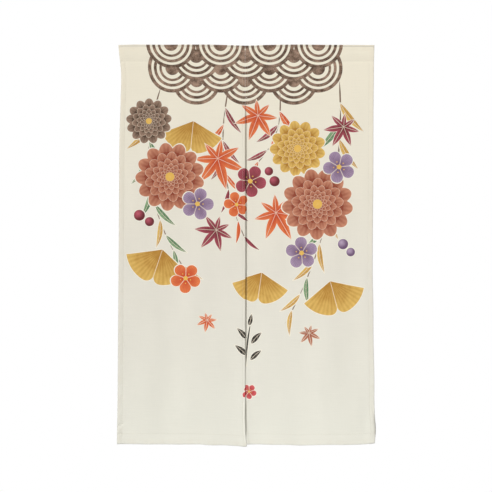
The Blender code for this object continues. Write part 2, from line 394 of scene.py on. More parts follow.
# One width: its sides, its hems as (left, right), where they are sewn, its small forms, its outer side, how
# it hangs, how far forward it laps at the slit, and the turn of its corner there
Width = namedtuple(
    "Width", "name node left right hems sewing folds puckers rolls slit_rolls outer bottom lap hook"
)
WIDTHS = (
    Width(
        "left_width", "panel_left", left_side, left_inner, (SIDE_HEM, SLIT_HEM), (SIDE_SEWING, SLIT_SEWING),
        LEFT_FOLDS, LEFT_PUCKERS, (LEFT_ROLL, LEFT_HEM_LIFT), (LEFT_SLIT_ROLL, LEFT_SLIT_LIFT),
        "left", LEFT_BOTTOM, LAP_FORWARD, HOOK,
    ),
    Width(
        "right_width", "panel_right", right_inner, right_side, (SLIT_HEM, SIDE_HEM),
        (SLIT_SEWING, SIDE_SEWING), RIGHT_FOLDS, RIGHT_PUCKERS, (RIGHT_ROLL, CURL_ROLL),
        (RIGHT_SLIT_ROLL, RIGHT_SLIT_LIFT, RIGHT_SLIT_CLOSE, RIGHT_LOW_LIFT),
        "right", RIGHT_BOTTOM, -LAP_BACK, 0.0,
    ),
)


def breadth(width):
    """A width's nominal size across, at the top of the slit."""
    return float(width.right(SLIT_TOP) - width.left(SLIT_TOP))


def hang_of(width, share):
    """How far down a width hangs at a share of its breadth: in passes, as place and hang need each other."""
    hang = np.full_like(share, float(curve(width.bottom, 0.0)))
    for _ in range(HANG_PASSES):
        across = width.left(hang) + (width.right(hang) - width.left(hang)) * share
        hang = curve(width.bottom, across)
    return hang


def fold_depth(folds, across, down):
    """How far forward the soft folds bring the cloth: bells round their crests, growing downwards."""
    total = 0.0
    for fold in folds:
        run = smooth_step(down, fold.start, fold.full)
        crest = fold.top_across + (fold.low_across - fold.top_across) * run
        total += fold.forward * run * bell(across - crest, fold.reach)
    return total


def rolled(roll, down, from_edge):
    """How far forward a roll brings the cloth: a bell at the edge, with a soft start and end."""
    grown = smooth_step(down, roll.start, roll.full)
    stretch = grown * (1 - smooth_step(down, roll.down_full, roll.down_end))
    return roll.forward * stretch * bell(from_edge, roll.reach)


def fine_relief(width, across, down, hang):
    """How far forward the small forms bring the cloth's face.

    Ripples are leaning sine waves that grow below the pocket. Gathers are short waves by the pocket's seam
    near the sides. Puckers are slanting bells in the side hem. Sewn lines are narrow troughs. Rolls bend the
    edges back or forward. The top of the slit pulls a small dimple under itself.
    """
    total = 0.0
    for ripple in RIPPLES:
        wave = np.sin(TAU * (across + ripple.lean * down) / ripple.length + ripple.phase)
        total += ripple.forward * wave * smooth_step(down, POCKET_HEIGHT, RIPPLES_FULL)
    from_left = across - width.left(down)
    from_right = width.right(down) - across
    from_side, from_slit = (from_left, from_right) if width.outer == "left" else (from_right, from_left)
    gather = np.cos(TAU * from_side / GATHER_LENGTH) * smooth_step(from_side, GATHERS_END, GATHERS_FULL)
    total += GATHER_DEPTH * gather * bell(down - POCKET_HEIGHT - GATHER_REACH, GATHER_REACH)
    for pucker in width.puckers:
        along = from_side - pucker.from_side
        aside = (down - pucker.down) - pucker.slope * along
        total += pucker.forward * bell(along, pucker.length) * bell(aside, pucker.reach)
    below_seam = smooth_step(down, POCKET_HEIGHT - SEAM_BLEND, POCKET_HEIGHT + SEAM_BLEND)
    for from_edge, line in zip((from_left, from_right), width.sewing):
        total -= STITCH_DIP * bell(from_edge - line, STITCH_DIP_REACH) * below_seam
    total -= STITCH_DIP * bell(hang - down - BOTTOM_SEWING, STITCH_DIP_REACH)
    for rolls, from_edge in ((width.rolls, from_side), (width.slit_rolls, from_slit)):
        for roll in rolls:
            total += rolled(roll, down, from_edge)
    total += BOTTOM_ROLL * bell(hang - down, BOTTOM_ROLL_REACH)
    total += width.hook * bell(from_slit, HOOK_ACROSS) * bell(hang - down, HOOK_UP)
    below_top = down - SLIT_TOP - SLIT_TENSION_DROP
    return total - SLIT_TENSION * bell(from_slit, SLIT_TENSION_REACH) * bell(below_top, SLIT_TENSION_REACH)


def front_face(width, across, down, hang):
    """How far behind the origin's plane the printed face lies at each place."""
    forward = fold_depth(width.folds, across, down)
    forward += width.lap * curve(SLIT_LAP, down) * bell(across - curve(SLIT_LINE, down), LAP_REACH)
    forward -= SEAM_DIP * bell(down - POCKET_HEIGHT, SEAM_DIP_REACH)
    forward += POCKET_FRONT_SWELL * np.sin(np.pi * np.clip(down / POCKET_HEIGHT, 0, 1)) ** 2
    return -(forward + fine_relief(width, across, down, hang))


def place_on_cloth(width, share, down, hang, behind):
    """Points of a width: across by share between its sides, then behind its face, and the height."""
    across = width.left(down) + (width.right(down) - width.left(down)) * share
    depth = front_face(width, across, down, hang) + behind
    in_pocket = np.clip(1.0 - down / POCKET_HEIGHT, 0.0, None)
    height = curve(TOP_EDGE, across) * in_pocket - down
    return np.stack([across, depth, height], axis=-1)


# How the cloth is cut and turned: columns from side to side, and rows from the bottom hem to the pocket's


def running(steps):
    """The sum of the steps before each place, from 0."""
    return np.concatenate([[0.0], np.cumsum(steps)])


def graded(start, end, step, fine_places, fine_reach):
    """Places from start to end a step apart, and closer near the fine places: equal shares of a density."""
    dense = np.linspace(start, end, DENSITY_SAMPLES)
    density = np.full_like(dense, 1.0 / step)
    for place in fine_places:
        density = np.maximum(density, bell(dense - place, fine_reach) / FINE_STEP)
    total = running((density[1:] + density[:-1]) / 2 * np.diff(dense))
    return np.interp(np.linspace(0.0, total[-1], int(round(total[-1])) + 1), total, dense)


def half_turn(steps):
    """The angles inside a half turn, its two ends left out."""
    return math.pi * np.arange(1, steps) / steps


def side_hem(hem, cloth):
    """A side hem from its raw edge to the fold, as (from the edge, behind).

    The raw edge is tucked inside, turned by half the fold's radius at the hem's inner line, and the hem runs
    back to the edge, where a half turn of the fold's radius leads to the front.
    """
    radius = cloth.fold_radius
    edge = radius + cloth.thickness / 2
    turn = half_turn(TURN_STEPS)
    tucked = np.linspace(hem - cloth.tuck, hem, TUCK_STEPS + 1)
    layer = np.linspace(hem, edge, HEM_STEPS + 1)
    bulge = radius * np.sin(turn)
    from_edge = np.concatenate([tucked, hem + bulge / 2, layer, edge - bulge])
    behind = np.concatenate(
        [
            np.full_like(tucked, radius),
            radius + radius / 2 * (1 - np.cos(turn)),
            np.full_like(layer, 2 * radius),
            radius * (1 + np.cos(turn)),
        ]
    )
    return from_edge, behind


def columns_of(width, cloth):
    """The columns of a width as (from its left edge, behind, flat place across)."""
    wide = breadth(width)
    edge = cloth.fold_radius + cloth.thickness / 2
    left_from, left_behind = side_hem(width.hems[0], cloth)
    right_from, right_behind = side_hem(width.hems[1], cloth)
    fine = [width.sewing[0], width.hems[0], wide - width.sewing[1], wide - width.hems[1], edge, wide - edge]
    field = graded(edge, wide - edge, cloth.cell, fine, FINE_COLUMNS)
    from_left = np.concatenate([left_from, field, wide - right_from[::-1]])
    behind = np.concatenate([left_behind, np.zeros_like(field), right_behind[::-1]])
    run = running(np.hypot(np.diff(from_left), np.diff(behind)))
    flat = run - run[len(left_from)] + edge
    return from_left, behind, flat - (0.0 if width.outer == "right" else wide)


BELOW, POCKET = 0, 1


def row_table(
    zone, place, fixed=0.0, hem=0.0, tuck=0.0, sign=1.0, drop_hem=0.0, drop_tuck=0.0, drop_side=0.0
):
    """Rows across a width, as a table of these nine columns.

    A row lies behind the front by a fixed part, a share of the hem's distance, a share of the tuck's, and
    the side hems' own distance by sign. Its drop adds shares of the same three.
    """
    columns = (zone, place, fixed, hem, tuck, sign, drop_hem, drop_tuck, drop_side)
    return np.stack(np.broadcast_arrays(*columns), axis=-1).astype(float)


def turned_rows(zone, place, angles, way):
    """The half turn between a hem and its tuck, at angle 0 on the hem, bulging down or up (way 1 or -1)."""
    c, s = np.cos(angles), np.sin(angles)
    return row_table(zone, place, 0.0, (1 + c) / 2, (1 - c) / 2, -c, way * s / 2, -way * s / 2, -way * s)


def rows_of(width, cloth):
    """All rows from the raw edge in the bottom hem to the one in the pocket's seam, and the sheet's length.

    Places below the pocket are shares of that length from the bottom up, and in the pocket heights down.
    """
    drawn = [pucker.down for pucker in width.puckers if abs(pucker.forward) >= FINE_PUCKER]
    turn = half_turn(TURN_STEPS)
    c, s = np.cos(turn[::-1]), np.sin(turn[::-1])
    length = float(curve(LEFT_BOTTOM, MEAN_PLACE)) - POCKET_HEIGHT
    fine = [0.0, BOTTOM_SEWING, BOTTOM_HEM, length] + [length + POCKET_HEIGHT - down for down in drawn]
    below = np.vstack(
        [
            row_table(BELOW, np.linspace(BOTTOM_HEM - cloth.tuck, BOTTOM_HEM, TUCK_STEPS + 1), tuck=1.0),
            turned_rows(BELOW, BOTTOM_HEM, turn[::-1], -1.0),
            row_table(BELOW, np.linspace(BOTTOM_HEM, 0.0, HEM_STEPS + 1), hem=1.0, sign=-1.0),
            row_table(BELOW, 0.0, hem=(1 - c) / 2, sign=c, drop_hem=s / 2, drop_side=-s),
            row_table(BELOW, graded(0.0, length, cloth.cell, fine, FINE_ROWS)[:-1]),
        ]
    )
    below[:, 1] /= length
    radius = POCKET_TURN
    fine = [-POCKET_HEIGHT, -radius] + [-down for down in drawn if down < POCKET_HEIGHT]
    over = half_turn(TURN_STEPS + 2)
    c, s = np.cos(over), np.sin(over)
    back = np.linspace(radius, POCKET_END, POCKET_STEPS + 1)
    t = (back - radius) / (POCKET_END - radius)
    closing = smooth_step(t, BACK_CLOSING, 1.0)
    swell = POCKET_BACK_SWELL * np.sin(np.pi * np.clip(t * BACK_SWELL_SPAN, 0, 1)) ** 2
    pocket = [
        row_table(POCKET, -graded(-POCKET_HEIGHT, -radius, cloth.cell, fine, FINE_POCKET_ROWS)),
        row_table(POCKET, radius - radius * s, radius * (1 - c), sign=c, drop_side=s),
        row_table(POCKET, back, (1 - closing) * 2 * radius + swell, closing, sign=-1.0),
        turned_rows(POCKET, POCKET_END, turn, 1.0),
        row_table(POCKET, np.linspace(POCKET_END, POCKET_END - cloth.tuck, TUCK_STEPS + 1), tuck=1.0),
    ]
    return np.vstack([below, *pocket]), length


def corner_share(width, from_left):
    """1 over the side hems, where a hem across lies over three layers, falling to 0 just inside them."""
    from_right = breadth(width) - from_left
    over_left = 1 - smooth_step(from_left, width.hems[0], width.hems[0] + CORNER_BLEND)
    over_right = 1 - smooth_step(from_right, width.hems[1], width.hems[1] + CORNER_BLEND)
    return np.maximum(over_left, over_right)


def hem_distances(width, cloth, from_left):
    """How far behind the front the hem across and its tuck lie: 2 and 1 fold radii, 8 and 3 at a corner."""
    corner = corner_share(width, from_left)
    return cloth.fold_radius * (2 + CORNER_HEM * corner), cloth.fold_radius * (1 + CORNER_TUCK * corner)


def width_surface(width, cloth):
    """The middle of the cloth as points[row, column], their flat places, and how far each is from a fold.

    Flat places down are the lengths along the rows of the hems' nominal distances, from the top fold.
    """
    from_left, side_behind, flat_across = columns_of(width, cloth)
    table, length = rows_of(width, cloth)
    zone, place, fixed, hem, tuck, sign, drop_hem, drop_tuck, drop_side = table.T[:, :, None]
    hem_behind, tuck_behind = hem_distances(width, cloth, from_left)
    share = np.broadcast_to(from_left / breadth(width), (len(table), len(from_left)))
    hang = np.broadcast_to(hang_of(width, share[0]), share.shape)
    edge = hang - hem_behind / 2 - cloth.thickness / 2
    drop = drop_hem * hem_behind + drop_tuck * tuck_behind + drop_side * side_behind
    down = np.where(zone == BELOW, edge - (edge - POCKET_HEIGHT) * place, place) + drop
    behind = fixed + hem * hem_behind + tuck * tuck_behind + sign * side_behind + cloth.thickness / 2
    points = place_on_cloth(width, share, down, hang, behind)
    nominal_down = np.where(zone == BELOW, POCKET_HEIGHT + length * (1 - place), place)
    nominal_down = (nominal_down + (drop_hem * 2 + drop_tuck) * cloth.fold_radius)[:, 0]
    nominal_behind = (fixed + (2 * hem + tuck) * cloth.fold_radius)[:, 0]
    run = running(np.hypot(np.diff(nominal_down), np.diff(nominal_behind)))
    flat_down = run[int(np.argmin(nominal_down))] - run
    outermost = int(np.argmin(from_left) if width.outer == "left" else np.argmax(from_left))
    from_side = np.abs(flat_across - flat_across[outermost])
    # At the top, the distance runs from the line of painted shade a little below the fold
    from_top = np.abs(np.abs(flat_down) - TOP_SHADE_DROP)
    from_end = np.minimum(from_top, np.abs(flat_down - flat_down[int(np.argmax(nominal_down))]))
    return points, flat_across, flat_down, np.minimum(from_side[None, :], from_end[:, None])


# Meshes from arrays


def make_object(name, points, faces):
    """A mesh object from an array of points and a list of face arrays, each with one number of corners."""
    mesh = bpy.data.meshes.new(name)
    corners = np.concatenate([part.ravel() for part in faces]).astype(np.int32)
    counts = np.concatenate([np.full(len(part), part.shape[1]) for part in faces])
    starts = running(counts)[:-1].astype(np.int32)
    mesh.vertices.add(len(points))
    mesh.vertices.foreach_set("co", points.astype(np.float32).ravel())
    mesh.loops.add(len(corners))
    mesh.loops.foreach_set("vertex_index", corners)
    mesh.polygons.add(len(counts))
    mesh.polygons.foreach_set("loop_start", starts)
    mesh.polygons.foreach_set("use_smooth", np.ones(len(counts), bool))
    mesh.update(calc_edges=True)
    mesh.validate()
    piece = bpy.data.objects.new(name, mesh)
    bpy.context.scene.collection.objects.link(piece)
    return piece


def unit(vectors):
    """The vectors divided by their lengths."""
    return vectors / np.maximum(np.linalg.norm(vectors, axis=-1, keepdims=True), 1e-12)


def tangents(points, axis):
    """The mean of the directions to the neighbours before and after along one axis."""
    step = unit(np.diff(points, axis=axis))
    first, last = np.take(step, [0], axis=axis), np.take(step, [-1], axis=axis)
    before = np.concatenate([first, step], axis=axis)
    after = np.concatenate([step, last], axis=axis)
    return unit(before + after)


def cell_faces(index):
    """The cells of a grid of point numbers, as corners that turn round the outward side."""
    return np.stack([index[:-1, :-1], index[:-1, 1:], index[1:, 1:], index[1:, :-1]], axis=-1).reshape(-1, 4)


def rim_of(index):
    """The point numbers round a grid's border, in the order in which its cells pass them."""
    return np.concatenate([index[0, :-1], index[:-1, -1], index[-1, :0:-1], index[:0:-1, 0]])


def cloth_faces(rows, columns):
    """The faces of a closed sheet: the front's cells, the back's turned round, and the rim between them."""
    front = np.arange(rows * columns).reshape(rows, columns)
    offset = rows * columns
    rim = rim_of(front)
    after = np.roll(rim, -1)
    edge = np.stack([after, rim, rim + offset, after + offset], axis=-1)
    return [cell_faces(front), cell_faces(front + offset)[:, ::-1], edge]


# The printed design. Every figure is placed in flat metres: across, down, its turn, its size, its tone.

# The tones, and below them each tone's deep and light colour

BROWN, GOLD, ORANGE, WINE, PURPLE, GREEN, CLAY, INK, RED = range(9)
TONES = (
    ("#4a3326", "#a98b76"),
    ("#b07a22", "#ecc66c"),
    ("#c4380f", "#ee8a4e"),
    ("#661522", "#bb5163"),
    ("#6a4d70", "#b7a0ba"),
    ("#3c6a44", "#8fb082"),
    ("#8c3a24", "#d08f70"),
    ("#171412", "#3b3530"),
    ("#b3212c", "#dd6a6c"),
)
PALE_LINE = "#f1e2cb"
HEART = "#e9b94e"

# Lobes round the middle (0 for a leaf), how deep and how sharp the notches are, how much the far lobes
# shrink, and how far round the figure reaches
Kind = namedtuple("Kind", "lobes notch power shrink reach")
BLOSSOM = Kind(5, 0.40, 2.4, 0.0, 9.0)
BLOOM = Kind(13, 0.17, 2.0, 0.0, 9.0)
MAPLE = Kind(7, 0.66, 0.72, 0.42, 9.0)
FAN = Kind(4, 0.20, 9.0, 0.0, 1.12)
BERRY = Kind(1, 0.00, 1.0, 0.0, 9.0)
Figure = namedtuple("Figure", "kind across down turn size tone")
Leaf = namedtuple("Leaf", "across down turn size half_width bow tone")
# A stem from one place to another, bowed aside, with leaves by turns on both sides
Spray = namedtuple(
    "Spray", "across down to_across to_down bow stem leaves leaf_size leaf_wide spread leaf_tones"
)

SPRAYS = (
    Spray(-0.300, 0.170, -0.200, 0.800, 0.075, 0.0026, 11, 0.066, 0.17, 40, (GREEN, GOLD, GREEN)),
    Spray(0.330, 0.150, 0.150, 0.960, -0.060, 0.0028, 13, 0.068, 0.17, 40, (GOLD, GREEN, GOLD)),
    Spray(-0.060, 0.170, 0.010, 0.700, 0.045, 0.0024, 9, 0.056, 0.16, 42, (WINE, ORANGE, WINE)),
    Spray(0.120, 0.190, 0.030, 0.430, -0.030, 0.0024, 5, 0.056, 0.20, 46, (ORANGE, WINE)),
)
# Each kind with its figures, as (across, down, turn, size, tone)
FIGURE_ROWS = (
    (
        FAN, (-0.285, 0.720, 108, 0.125, GOLD), (0.300, 0.830, 76, 0.120, GOLD),
        (-0.180, 0.270, 95, 0.115, GOLD), (0.060, 0.800, 98, 0.110, GOLD),
    ),
    (
        MAPLE, (-0.095, 0.400, 75, 0.115, ORANGE), (0.045, 0.250, 110, 0.095, ORANGE),
        (0.110, 0.590, 60, 0.110, ORANGE), (0.345, 0.290, 120, 0.080, WINE),
        (-0.100, 0.650, 130, 0.085, WINE),
    ),
    (
        BLOOM, (-0.260, 0.465, 12, 0.120, CLAY), (0.185, 0.365, 40, 0.098, GOLD),
        (0.255, 0.560, 8, 0.125, CLAY), (-0.335, 0.270, 20, 0.080, BROWN),
    ),
    (
        BLOSSOM, (-0.165, 0.560, 0, 0.056, PURPLE), (0.330, 0.430, 30, 0.056, PURPLE),
        (0.020, 0.480, 10, 0.056, WINE), (-0.030, 0.560, 40, 0.044, ORANGE),
        (0.200, 0.730, 50, 0.056, PURPLE), (-0.205, 0.820, 20, 0.052, ORANGE),
    ),
    (
        BERRY, (-0.365, 0.600, 0, 0.019, WINE), (-0.330, 0.622, 0, 0.016, WINE),
        (0.105, 0.480, 0, 0.018, WINE), (0.085, 0.445, 0, 0.015, WINE),
        (0.345, 0.700, 0, 0.018, PURPLE), (0.372, 0.728, 0, 0.015, PURPLE),
    ),
    (
        MAPLE, (0.225, 1.010, 80, 0.050, CLAY), (-0.130, 0.965, 100, 0.046, ORANGE),
    ),
    (BLOSSOM, (0.016, 1.218, 18, 0.026, RED)),
)
FIGURES = [Figure(kind, *row) for kind, *rows in FIGURE_ROWS for row in rows]
LEAVES = (
    Leaf(0.014, 1.052, 96, 0.078, 0.0026, 0.05, INK),
    Leaf(-0.012, 1.010, 230, 0.026, 0.0085, 0.10, INK),
    Leaf(0.042, 1.030, 312, 0.027, 0.0090, -0.10, INK),
    Leaf(-0.016, 1.068, 222, 0.027, 0.0090, 0.10, INK),
    Leaf(0.040, 1.090, 318, 0.026, 0.0085, -0.10, INK),
    Leaf(0.020, 0.966, 282, 0.022, 0.0075, 0.05, INK),
)

LAYERS = 6
STROKE_LENGTH = 0.090
STROKE_LAP = 1.45
STEM_TAPER = 0.4
FIRST_LEAF = 0.9
LAST_LEAF = 0.4
LEAF_SIZE_FALL = 0.35
LEAF_SPREAD_FALL = 0.45
LEAF_REACH = 0.98
LEAF_BOW = 0.12
ARC_AHEAD = 0.01
LEAF_SHRINK = 0.35
PLACE_MARGIN = 0.0075


def heading(turn):
    """The cosine and sine of a turn in degrees."""
    return np.cos(np.radians(turn)), np.sin(np.radians(turn))


def rotated(across, down, turn):
    """(across, down) measured along and aside of a direction, turned from across towards down in degrees."""
    c, s = heading(turn)
    return across * c + down * s, down * c - across * s


def spray_leaves(spray):
    """The strokes of a spray's stem, and its leaves, at equal shares of the arc between its two ends.

    The arc is the line between the ends, bowed aside by a parabola. Leaves stand at both sides by turns, and
    get smaller and closer to the stem towards its end.
    """
    step_across, step_down = spray.to_across - spray.across, spray.to_down - spray.down
    reach = math.hypot(step_across, step_down)
    aim = math.degrees(math.atan2(step_down, step_across))

    def on_arc(t):
        """The place at a share t of the arc."""
        aside = spray.bow * 4 * t * (1 - t)
        c, s = heading(aim)
        return spray.across + reach * t * c - aside * s, spray.down + reach * t * s + aside * c

    strokes = max(2, round(reach / STROKE_LENGTH))
    made = []
    for i in range(strokes):
        (x0, d0), (xm, dm), (x1, d1) = (on_arc((i + part) / strokes) for part in (0, 0.5, 1))
        turn = math.degrees(math.atan2(d1 - d0, x1 - x0))
        half = math.hypot(x1 - x0, d1 - d0) / 2
        x, d = (x0 + x1) / 2, (d0 + d1) / 2
        bow = rotated(xm - x, dm - d, turn)[1] / half
        half_width = spray.stem * (1 - STEM_TAPER * i / strokes)
        made.append(Leaf(x, d, turn, half * STROKE_LAP, half_width, bow, BROWN))
    for i in range(spray.leaves):
        t = (i + FIRST_LEAF) / (spray.leaves + LAST_LEAF)
        x, d = on_arc(t)
        ahead = on_arc(t + ARC_AHEAD)
        side = 1 if i % 2 else -1
        size = spray.leaf_size * (1 - LEAF_SIZE_FALL * t)
        turn = math.degrees(math.atan2(ahead[1] - d, ahead[0] - x))
        turn += side * spray.spread * (1 - LEAF_SPREAD_FALL * t)
        c, s = heading(turn)
        x, d = x + c * size * LEAF_REACH, d + s * size * LEAF_REACH
        tone = spray.leaf_tones[i % len(spray.leaf_tones)]
        made.append(Leaf(x, d, turn, size, size * spray.leaf_wide, -side * LEAF_BOW, tone))
    return made


def all_figures():
    """Every figure of the print, from the lowest to the one on top."""
    return [leaf for spray in SPRAYS for leaf in spray_leaves(spray)] + FIGURES + list(LEAVES)


def print_layers(flat_across, flat_down):
    """Which figures each cell of a width shows, in layers from the lowest to the one on top.

    Every cell in a figure's reach takes it in that cell's next free layer. Each layer holds, for every
    cell, the figure's place and turn, then (size, lobes, notch or half width, tone) and (power or bow,
    shrink, reach).
    """
    across = ((flat_across[1:] + flat_across[:-1]) / 2)[None, :]
    down = ((flat_down[1:] + flat_down[:-1]) / 2)[:, None]
    shape = (LAYERS, len(flat_down) - 1, len(flat_across) - 1)
    filled = np.zeros(shape[1:], int)
    origin, form, turn = np.zeros(shape + (3,)), np.zeros(shape + (4,)), np.zeros(shape + (3,))
    for figure in all_figures():
        along, aside = rotated(across - figure.across, down - figure.down, figure.turn)
        tone = (figure.tone + 0.5) / len(TONES)
        if isinstance(figure, Leaf):
            half = figure.half_width + abs(figure.bow) * figure.size + PLACE_MARGIN
            inside = (np.abs(along) < figure.size + PLACE_MARGIN) & (np.abs(aside) < half)
            own_form = (figure.size, 0.0, figure.half_width, tone)
            own_turn = (figure.bow, LEAF_SHRINK, 0.0 if figure.tone == BROWN else 1.0)
        else:
            inside = np.hypot(along, aside) < figure.size + PLACE_MARGIN
            own_form = (figure.size, figure.kind.lobes, figure.kind.notch, tone)
            own_turn = (figure.kind.power, figure.kind.shrink, figure.kind.reach)
        row, column = np.nonzero(inside)
        layer = filled[row, column]
        if len(layer) and layer.max() >= LAYERS:
            raise RuntimeError(f"more than {LAYERS} figures of the print lie over each other at {figure}")
        origin[layer, row, column] = (figure.across, figure.down, figure.turn)
        form[layer, row, column] = own_form
        turn[layer, row, column] = own_turn
        filled[row, column] += 1
    return list(zip(origin, form, turn))


def add_vectors(mesh, name, domain, values):
    """An attribute of three numbers for each corner, face or point."""
    attribute = mesh.attributes.new(name, "FLOAT_VECTOR", domain)
    attribute.data.foreach_set("vector", values.astype(np.float32).ravel())


def add_print(mesh, faces, flat_across, flat_down, from_fold):
    """Writes the flat places and the print's figures into the mesh.

    cloth_place holds each corner's flat place and its distance from the nearest folded edge. For each layer,
    place holds the corner's place in the figure's own axes (along, aside, tone), and form and turn hold the
    figure's numbers for the whole face.
    """
    flat = np.broadcast_arrays(flat_across[None, :], flat_down[:, None], from_fold)
    flat = np.tile(np.stack(flat, axis=-1).reshape(-1, 3), (2, 1))
    corners = np.concatenate([flat[part] for part in faces])
    add_vectors(mesh, "cloth_place", "CORNER", corners)
    for number, layer in enumerate(print_layers(flat_across, flat_down)):
        parts = [values.reshape(len(faces[0]), -1) for values in layer]
        rim = len(faces[2])
        origin, form, turn = (np.vstack([part, part, np.zeros((rim, part.shape[1]))]) for part in parts)
        across, down = corners[..., 0] - origin[:, 0:1], corners[..., 1] - origin[:, 1:2]
        along, aside = rotated(across, down, origin[:, 2:3])
        tone = np.broadcast_to(form[:, 3:4], along.shape)
        add_vectors(mesh, f"figure_{number}_place", "CORNER", np.stack([along, aside, tone], axis=-1))
        add_vectors(mesh, f"figure_{number}_form", "FACE", form[:, :3])
        add_vectors(mesh, f"figure_{number}_turn", "FACE", turn)


# The square map: the size of each side's field, where the two fields start, the rim's strip between them,
# and how much of its share of the strip each rim face fills
MAP_SIZE = (0.475, 0.980)
MAP_FRONT = (0.010, 0.010)
MAP_BACK = (0.515, 0.010)
MAP_RIM = (0.494, 0.494, 0.506, 0.506)
RIM_FILL = 0.9


def add_bake_map(mesh, faces, flat_across, flat_down):
    """A map of the sheet in one square: the front at the left, the back at the right, the rim between."""
    u = (flat_across - flat_across[0]) / (flat_across[-1] - flat_across[0])
    v = (flat_down - flat_down[-1]) / (flat_down[0] - flat_down[-1])
    grid = np.stack(np.broadcast_arrays(u[None, :], v[:, None]), axis=-1).reshape(-1, 2) * MAP_SIZE
    both = np.concatenate([grid + MAP_FRONT, grid + MAP_BACK])
    rim = len(faces[2])
    low, high = np.arange(rim) / rim, (np.arange(rim) + RIM_FILL) / rim
    ends = np.stack([high, low, low, high], axis=-1) * MAP_SIZE[1] + MAP_FRONT[1]
    strip = np.stack([np.broadcast_to(MAP_RIM, ends.shape), ends], axis=-1)
    corners = np.concatenate([both[faces[0]], both[faces[1]], strip])
    layer = mesh.uv_layers.new(name="OFBake")
    layer.uv.foreach_set("vector", corners.astype(np.float32).ravel())


# Materials. A Term stands for one number in a node tree, so that formulas can be written out.


class Term:
    """A number in a node tree. Its operators and methods add Math nodes."""

    def __init__(self, tree, socket):
        self.tree = tree
        self.socket = socket

    def math(self, operation, *others):
        """A Math node on itself and the others."""
        return math_term(self.tree, operation, self, *others)

    def __abs__(self):
        return self.math("ABSOLUTE")

    def __gt__(self, other):
        return self.math("GREATER_THAN", other)

    def __lt__(self, other):
        return self.math("LESS_THAN", other)

    def clamped(self):
        """Itself kept between 0 and 1."""
        return self.math("MINIMUM", 1.0).math("MAXIMUM", 0.0)

    def between(self, other, share):
        """Itself where the share is 0, the other where it is 1."""
        return self + (other - self) * share


def add_operator(sign, operation):
    """Gives Term the operator of a sign, with the Term at its left or at its right."""
    setattr(Term, f"__{sign}__", lambda term, other: math_term(term.tree, operation, term, other))
    setattr(Term, f"__r{sign}__", lambda term, other: math_term(term.tree, operation, other, term))


OPERATORS = {"add": "ADD", "sub": "SUBTRACT", "mul": "MULTIPLY", "truediv": "DIVIDE", "pow": "POWER"}
for sign, operation in OPERATORS.items():
    add_operator(sign, operation)


def link(tree, value, socket):
    """Joins a Term or a socket to an input, or sets the input to a plain value."""
    if isinstance(value, Term):
        tree.links.new(value.socket, socket)
    elif isinstance(value, bpy.types.NodeSocket):
        tree.links.new(value, socket)
    else:
        socket.default_value = value


def math_term(tree, operation, *values):
    """A Math node on the values, as a Term."""
    node = tree.nodes.new("ShaderNodeMath")
    node.operation = operation
    for value, socket in zip(values, node.inputs):
        link(tree, value, socket)
    return Term(tree, node.outputs[0])


def split(tree, socket):
    """The three numbers of a vector."""
    node = tree.nodes.new("ShaderNodeSeparateXYZ")
    link(tree, socket, node.inputs[0])
    return [Term(tree, output) for output in node.outputs]


def join(tree, *values):
    """A vector of three numbers."""
    node = tree.nodes.new("ShaderNodeCombineXYZ")
    for value, socket in zip(values, node.inputs):
        link(tree, value, socket)
    return node.outputs[0]


def attribute(tree, name):
    """The mesh's own vector of that name."""
    node = tree.nodes.new("ShaderNodeAttribute")
    node.attribute_name = name
    return node.outputs["Vector"]


def noise(tree, vector, scale, detail=2.0, roughness=0.5):
    """Soft noise about 0.5 at a vector times the scale."""
    node = tree.nodes.new("ShaderNodeTexNoise")
    tree.links.new(vector, node.inputs["Vector"])
    node.inputs["Scale"].default_value = scale
    node.inputs["Detail"].default_value = detail
    node.inputs["Roughness"].default_value = roughness
    return Term(tree, node.outputs[0])


def streaked_noise(tree, across, down, stretch, *detail):
    """Noise that runs so many times per metre across and down, shifted, so that no two kinds are alike."""
    wide, high, shift = stretch
    return noise(tree, join(tree, across * wide, down * high, shift), 1.0, *detail)


def mix(tree, share, first, second, blend="MIX"):
    """The first colour where the share is 0 and the second where it is 1."""
    node = tree.nodes.new("ShaderNodeMix")
    node.data_type = "RGBA"
    node.blend_type = blend
    link(tree, share, node.inputs[0])
    link(tree, first, node.inputs[6])
    link(tree, second, node.inputs[7])
    return node.outputs[2]


def linear(text):
    """A linear colour with full alpha from a hexadecimal screen colour."""
    shown = [int(text[i : i + 2], 16) / 255 for i in (1, 3, 5)]
    return tuple(c / 12.92 if c <= 0.04045 else ((c + 0.055) / 1.055) ** 2.4 for c in shown) + (1.0,)


def ramp(tree, share, stops, interpolation="LINEAR"):
    """A colour ramp through (place, colour) stops."""
    node = tree.nodes.new("ShaderNodeValToRGB")
    node.color_ramp.interpolation = interpolation
    while len(node.color_ramp.elements) < len(stops):
        node.color_ramp.elements.new(1.0)
    for element, (place, colour) in zip(node.color_ramp.elements, stops):
        element.position = place
        element.color = colour
    link(tree, share, node.inputs[0])
    return node.outputs[0]


def terms(tree, node):
    """A node's outputs as Terms by their names."""
    return {output.name: Term(tree, output) for output in node.outputs}


def new_group(name, inputs, outputs):
    """A node group with named sockets, as (tree, its inputs as terms, a function that sets an output)."""
    tree = bpy.data.node_groups.new(name, "ShaderNodeTree")
    kinds = {"number": "NodeSocketFloat", "vector": "NodeSocketVector", "colour": "NodeSocketColor"}
    for label, kind in inputs:
        tree.interface.new_socket(label, in_out="INPUT", socket_type=kinds[kind])
    for label, kind in outputs:
        tree.interface.new_socket(label, in_out="OUTPUT", socket_type=kinds[kind])
    given = tree.nodes.new("NodeGroupInput")
    result = tree.nodes.new("NodeGroupOutput")

    def put(label, value):
        """Sets an output of the group."""
        link(tree, value, result.inputs[label])

    return tree, terms(tree, given), put


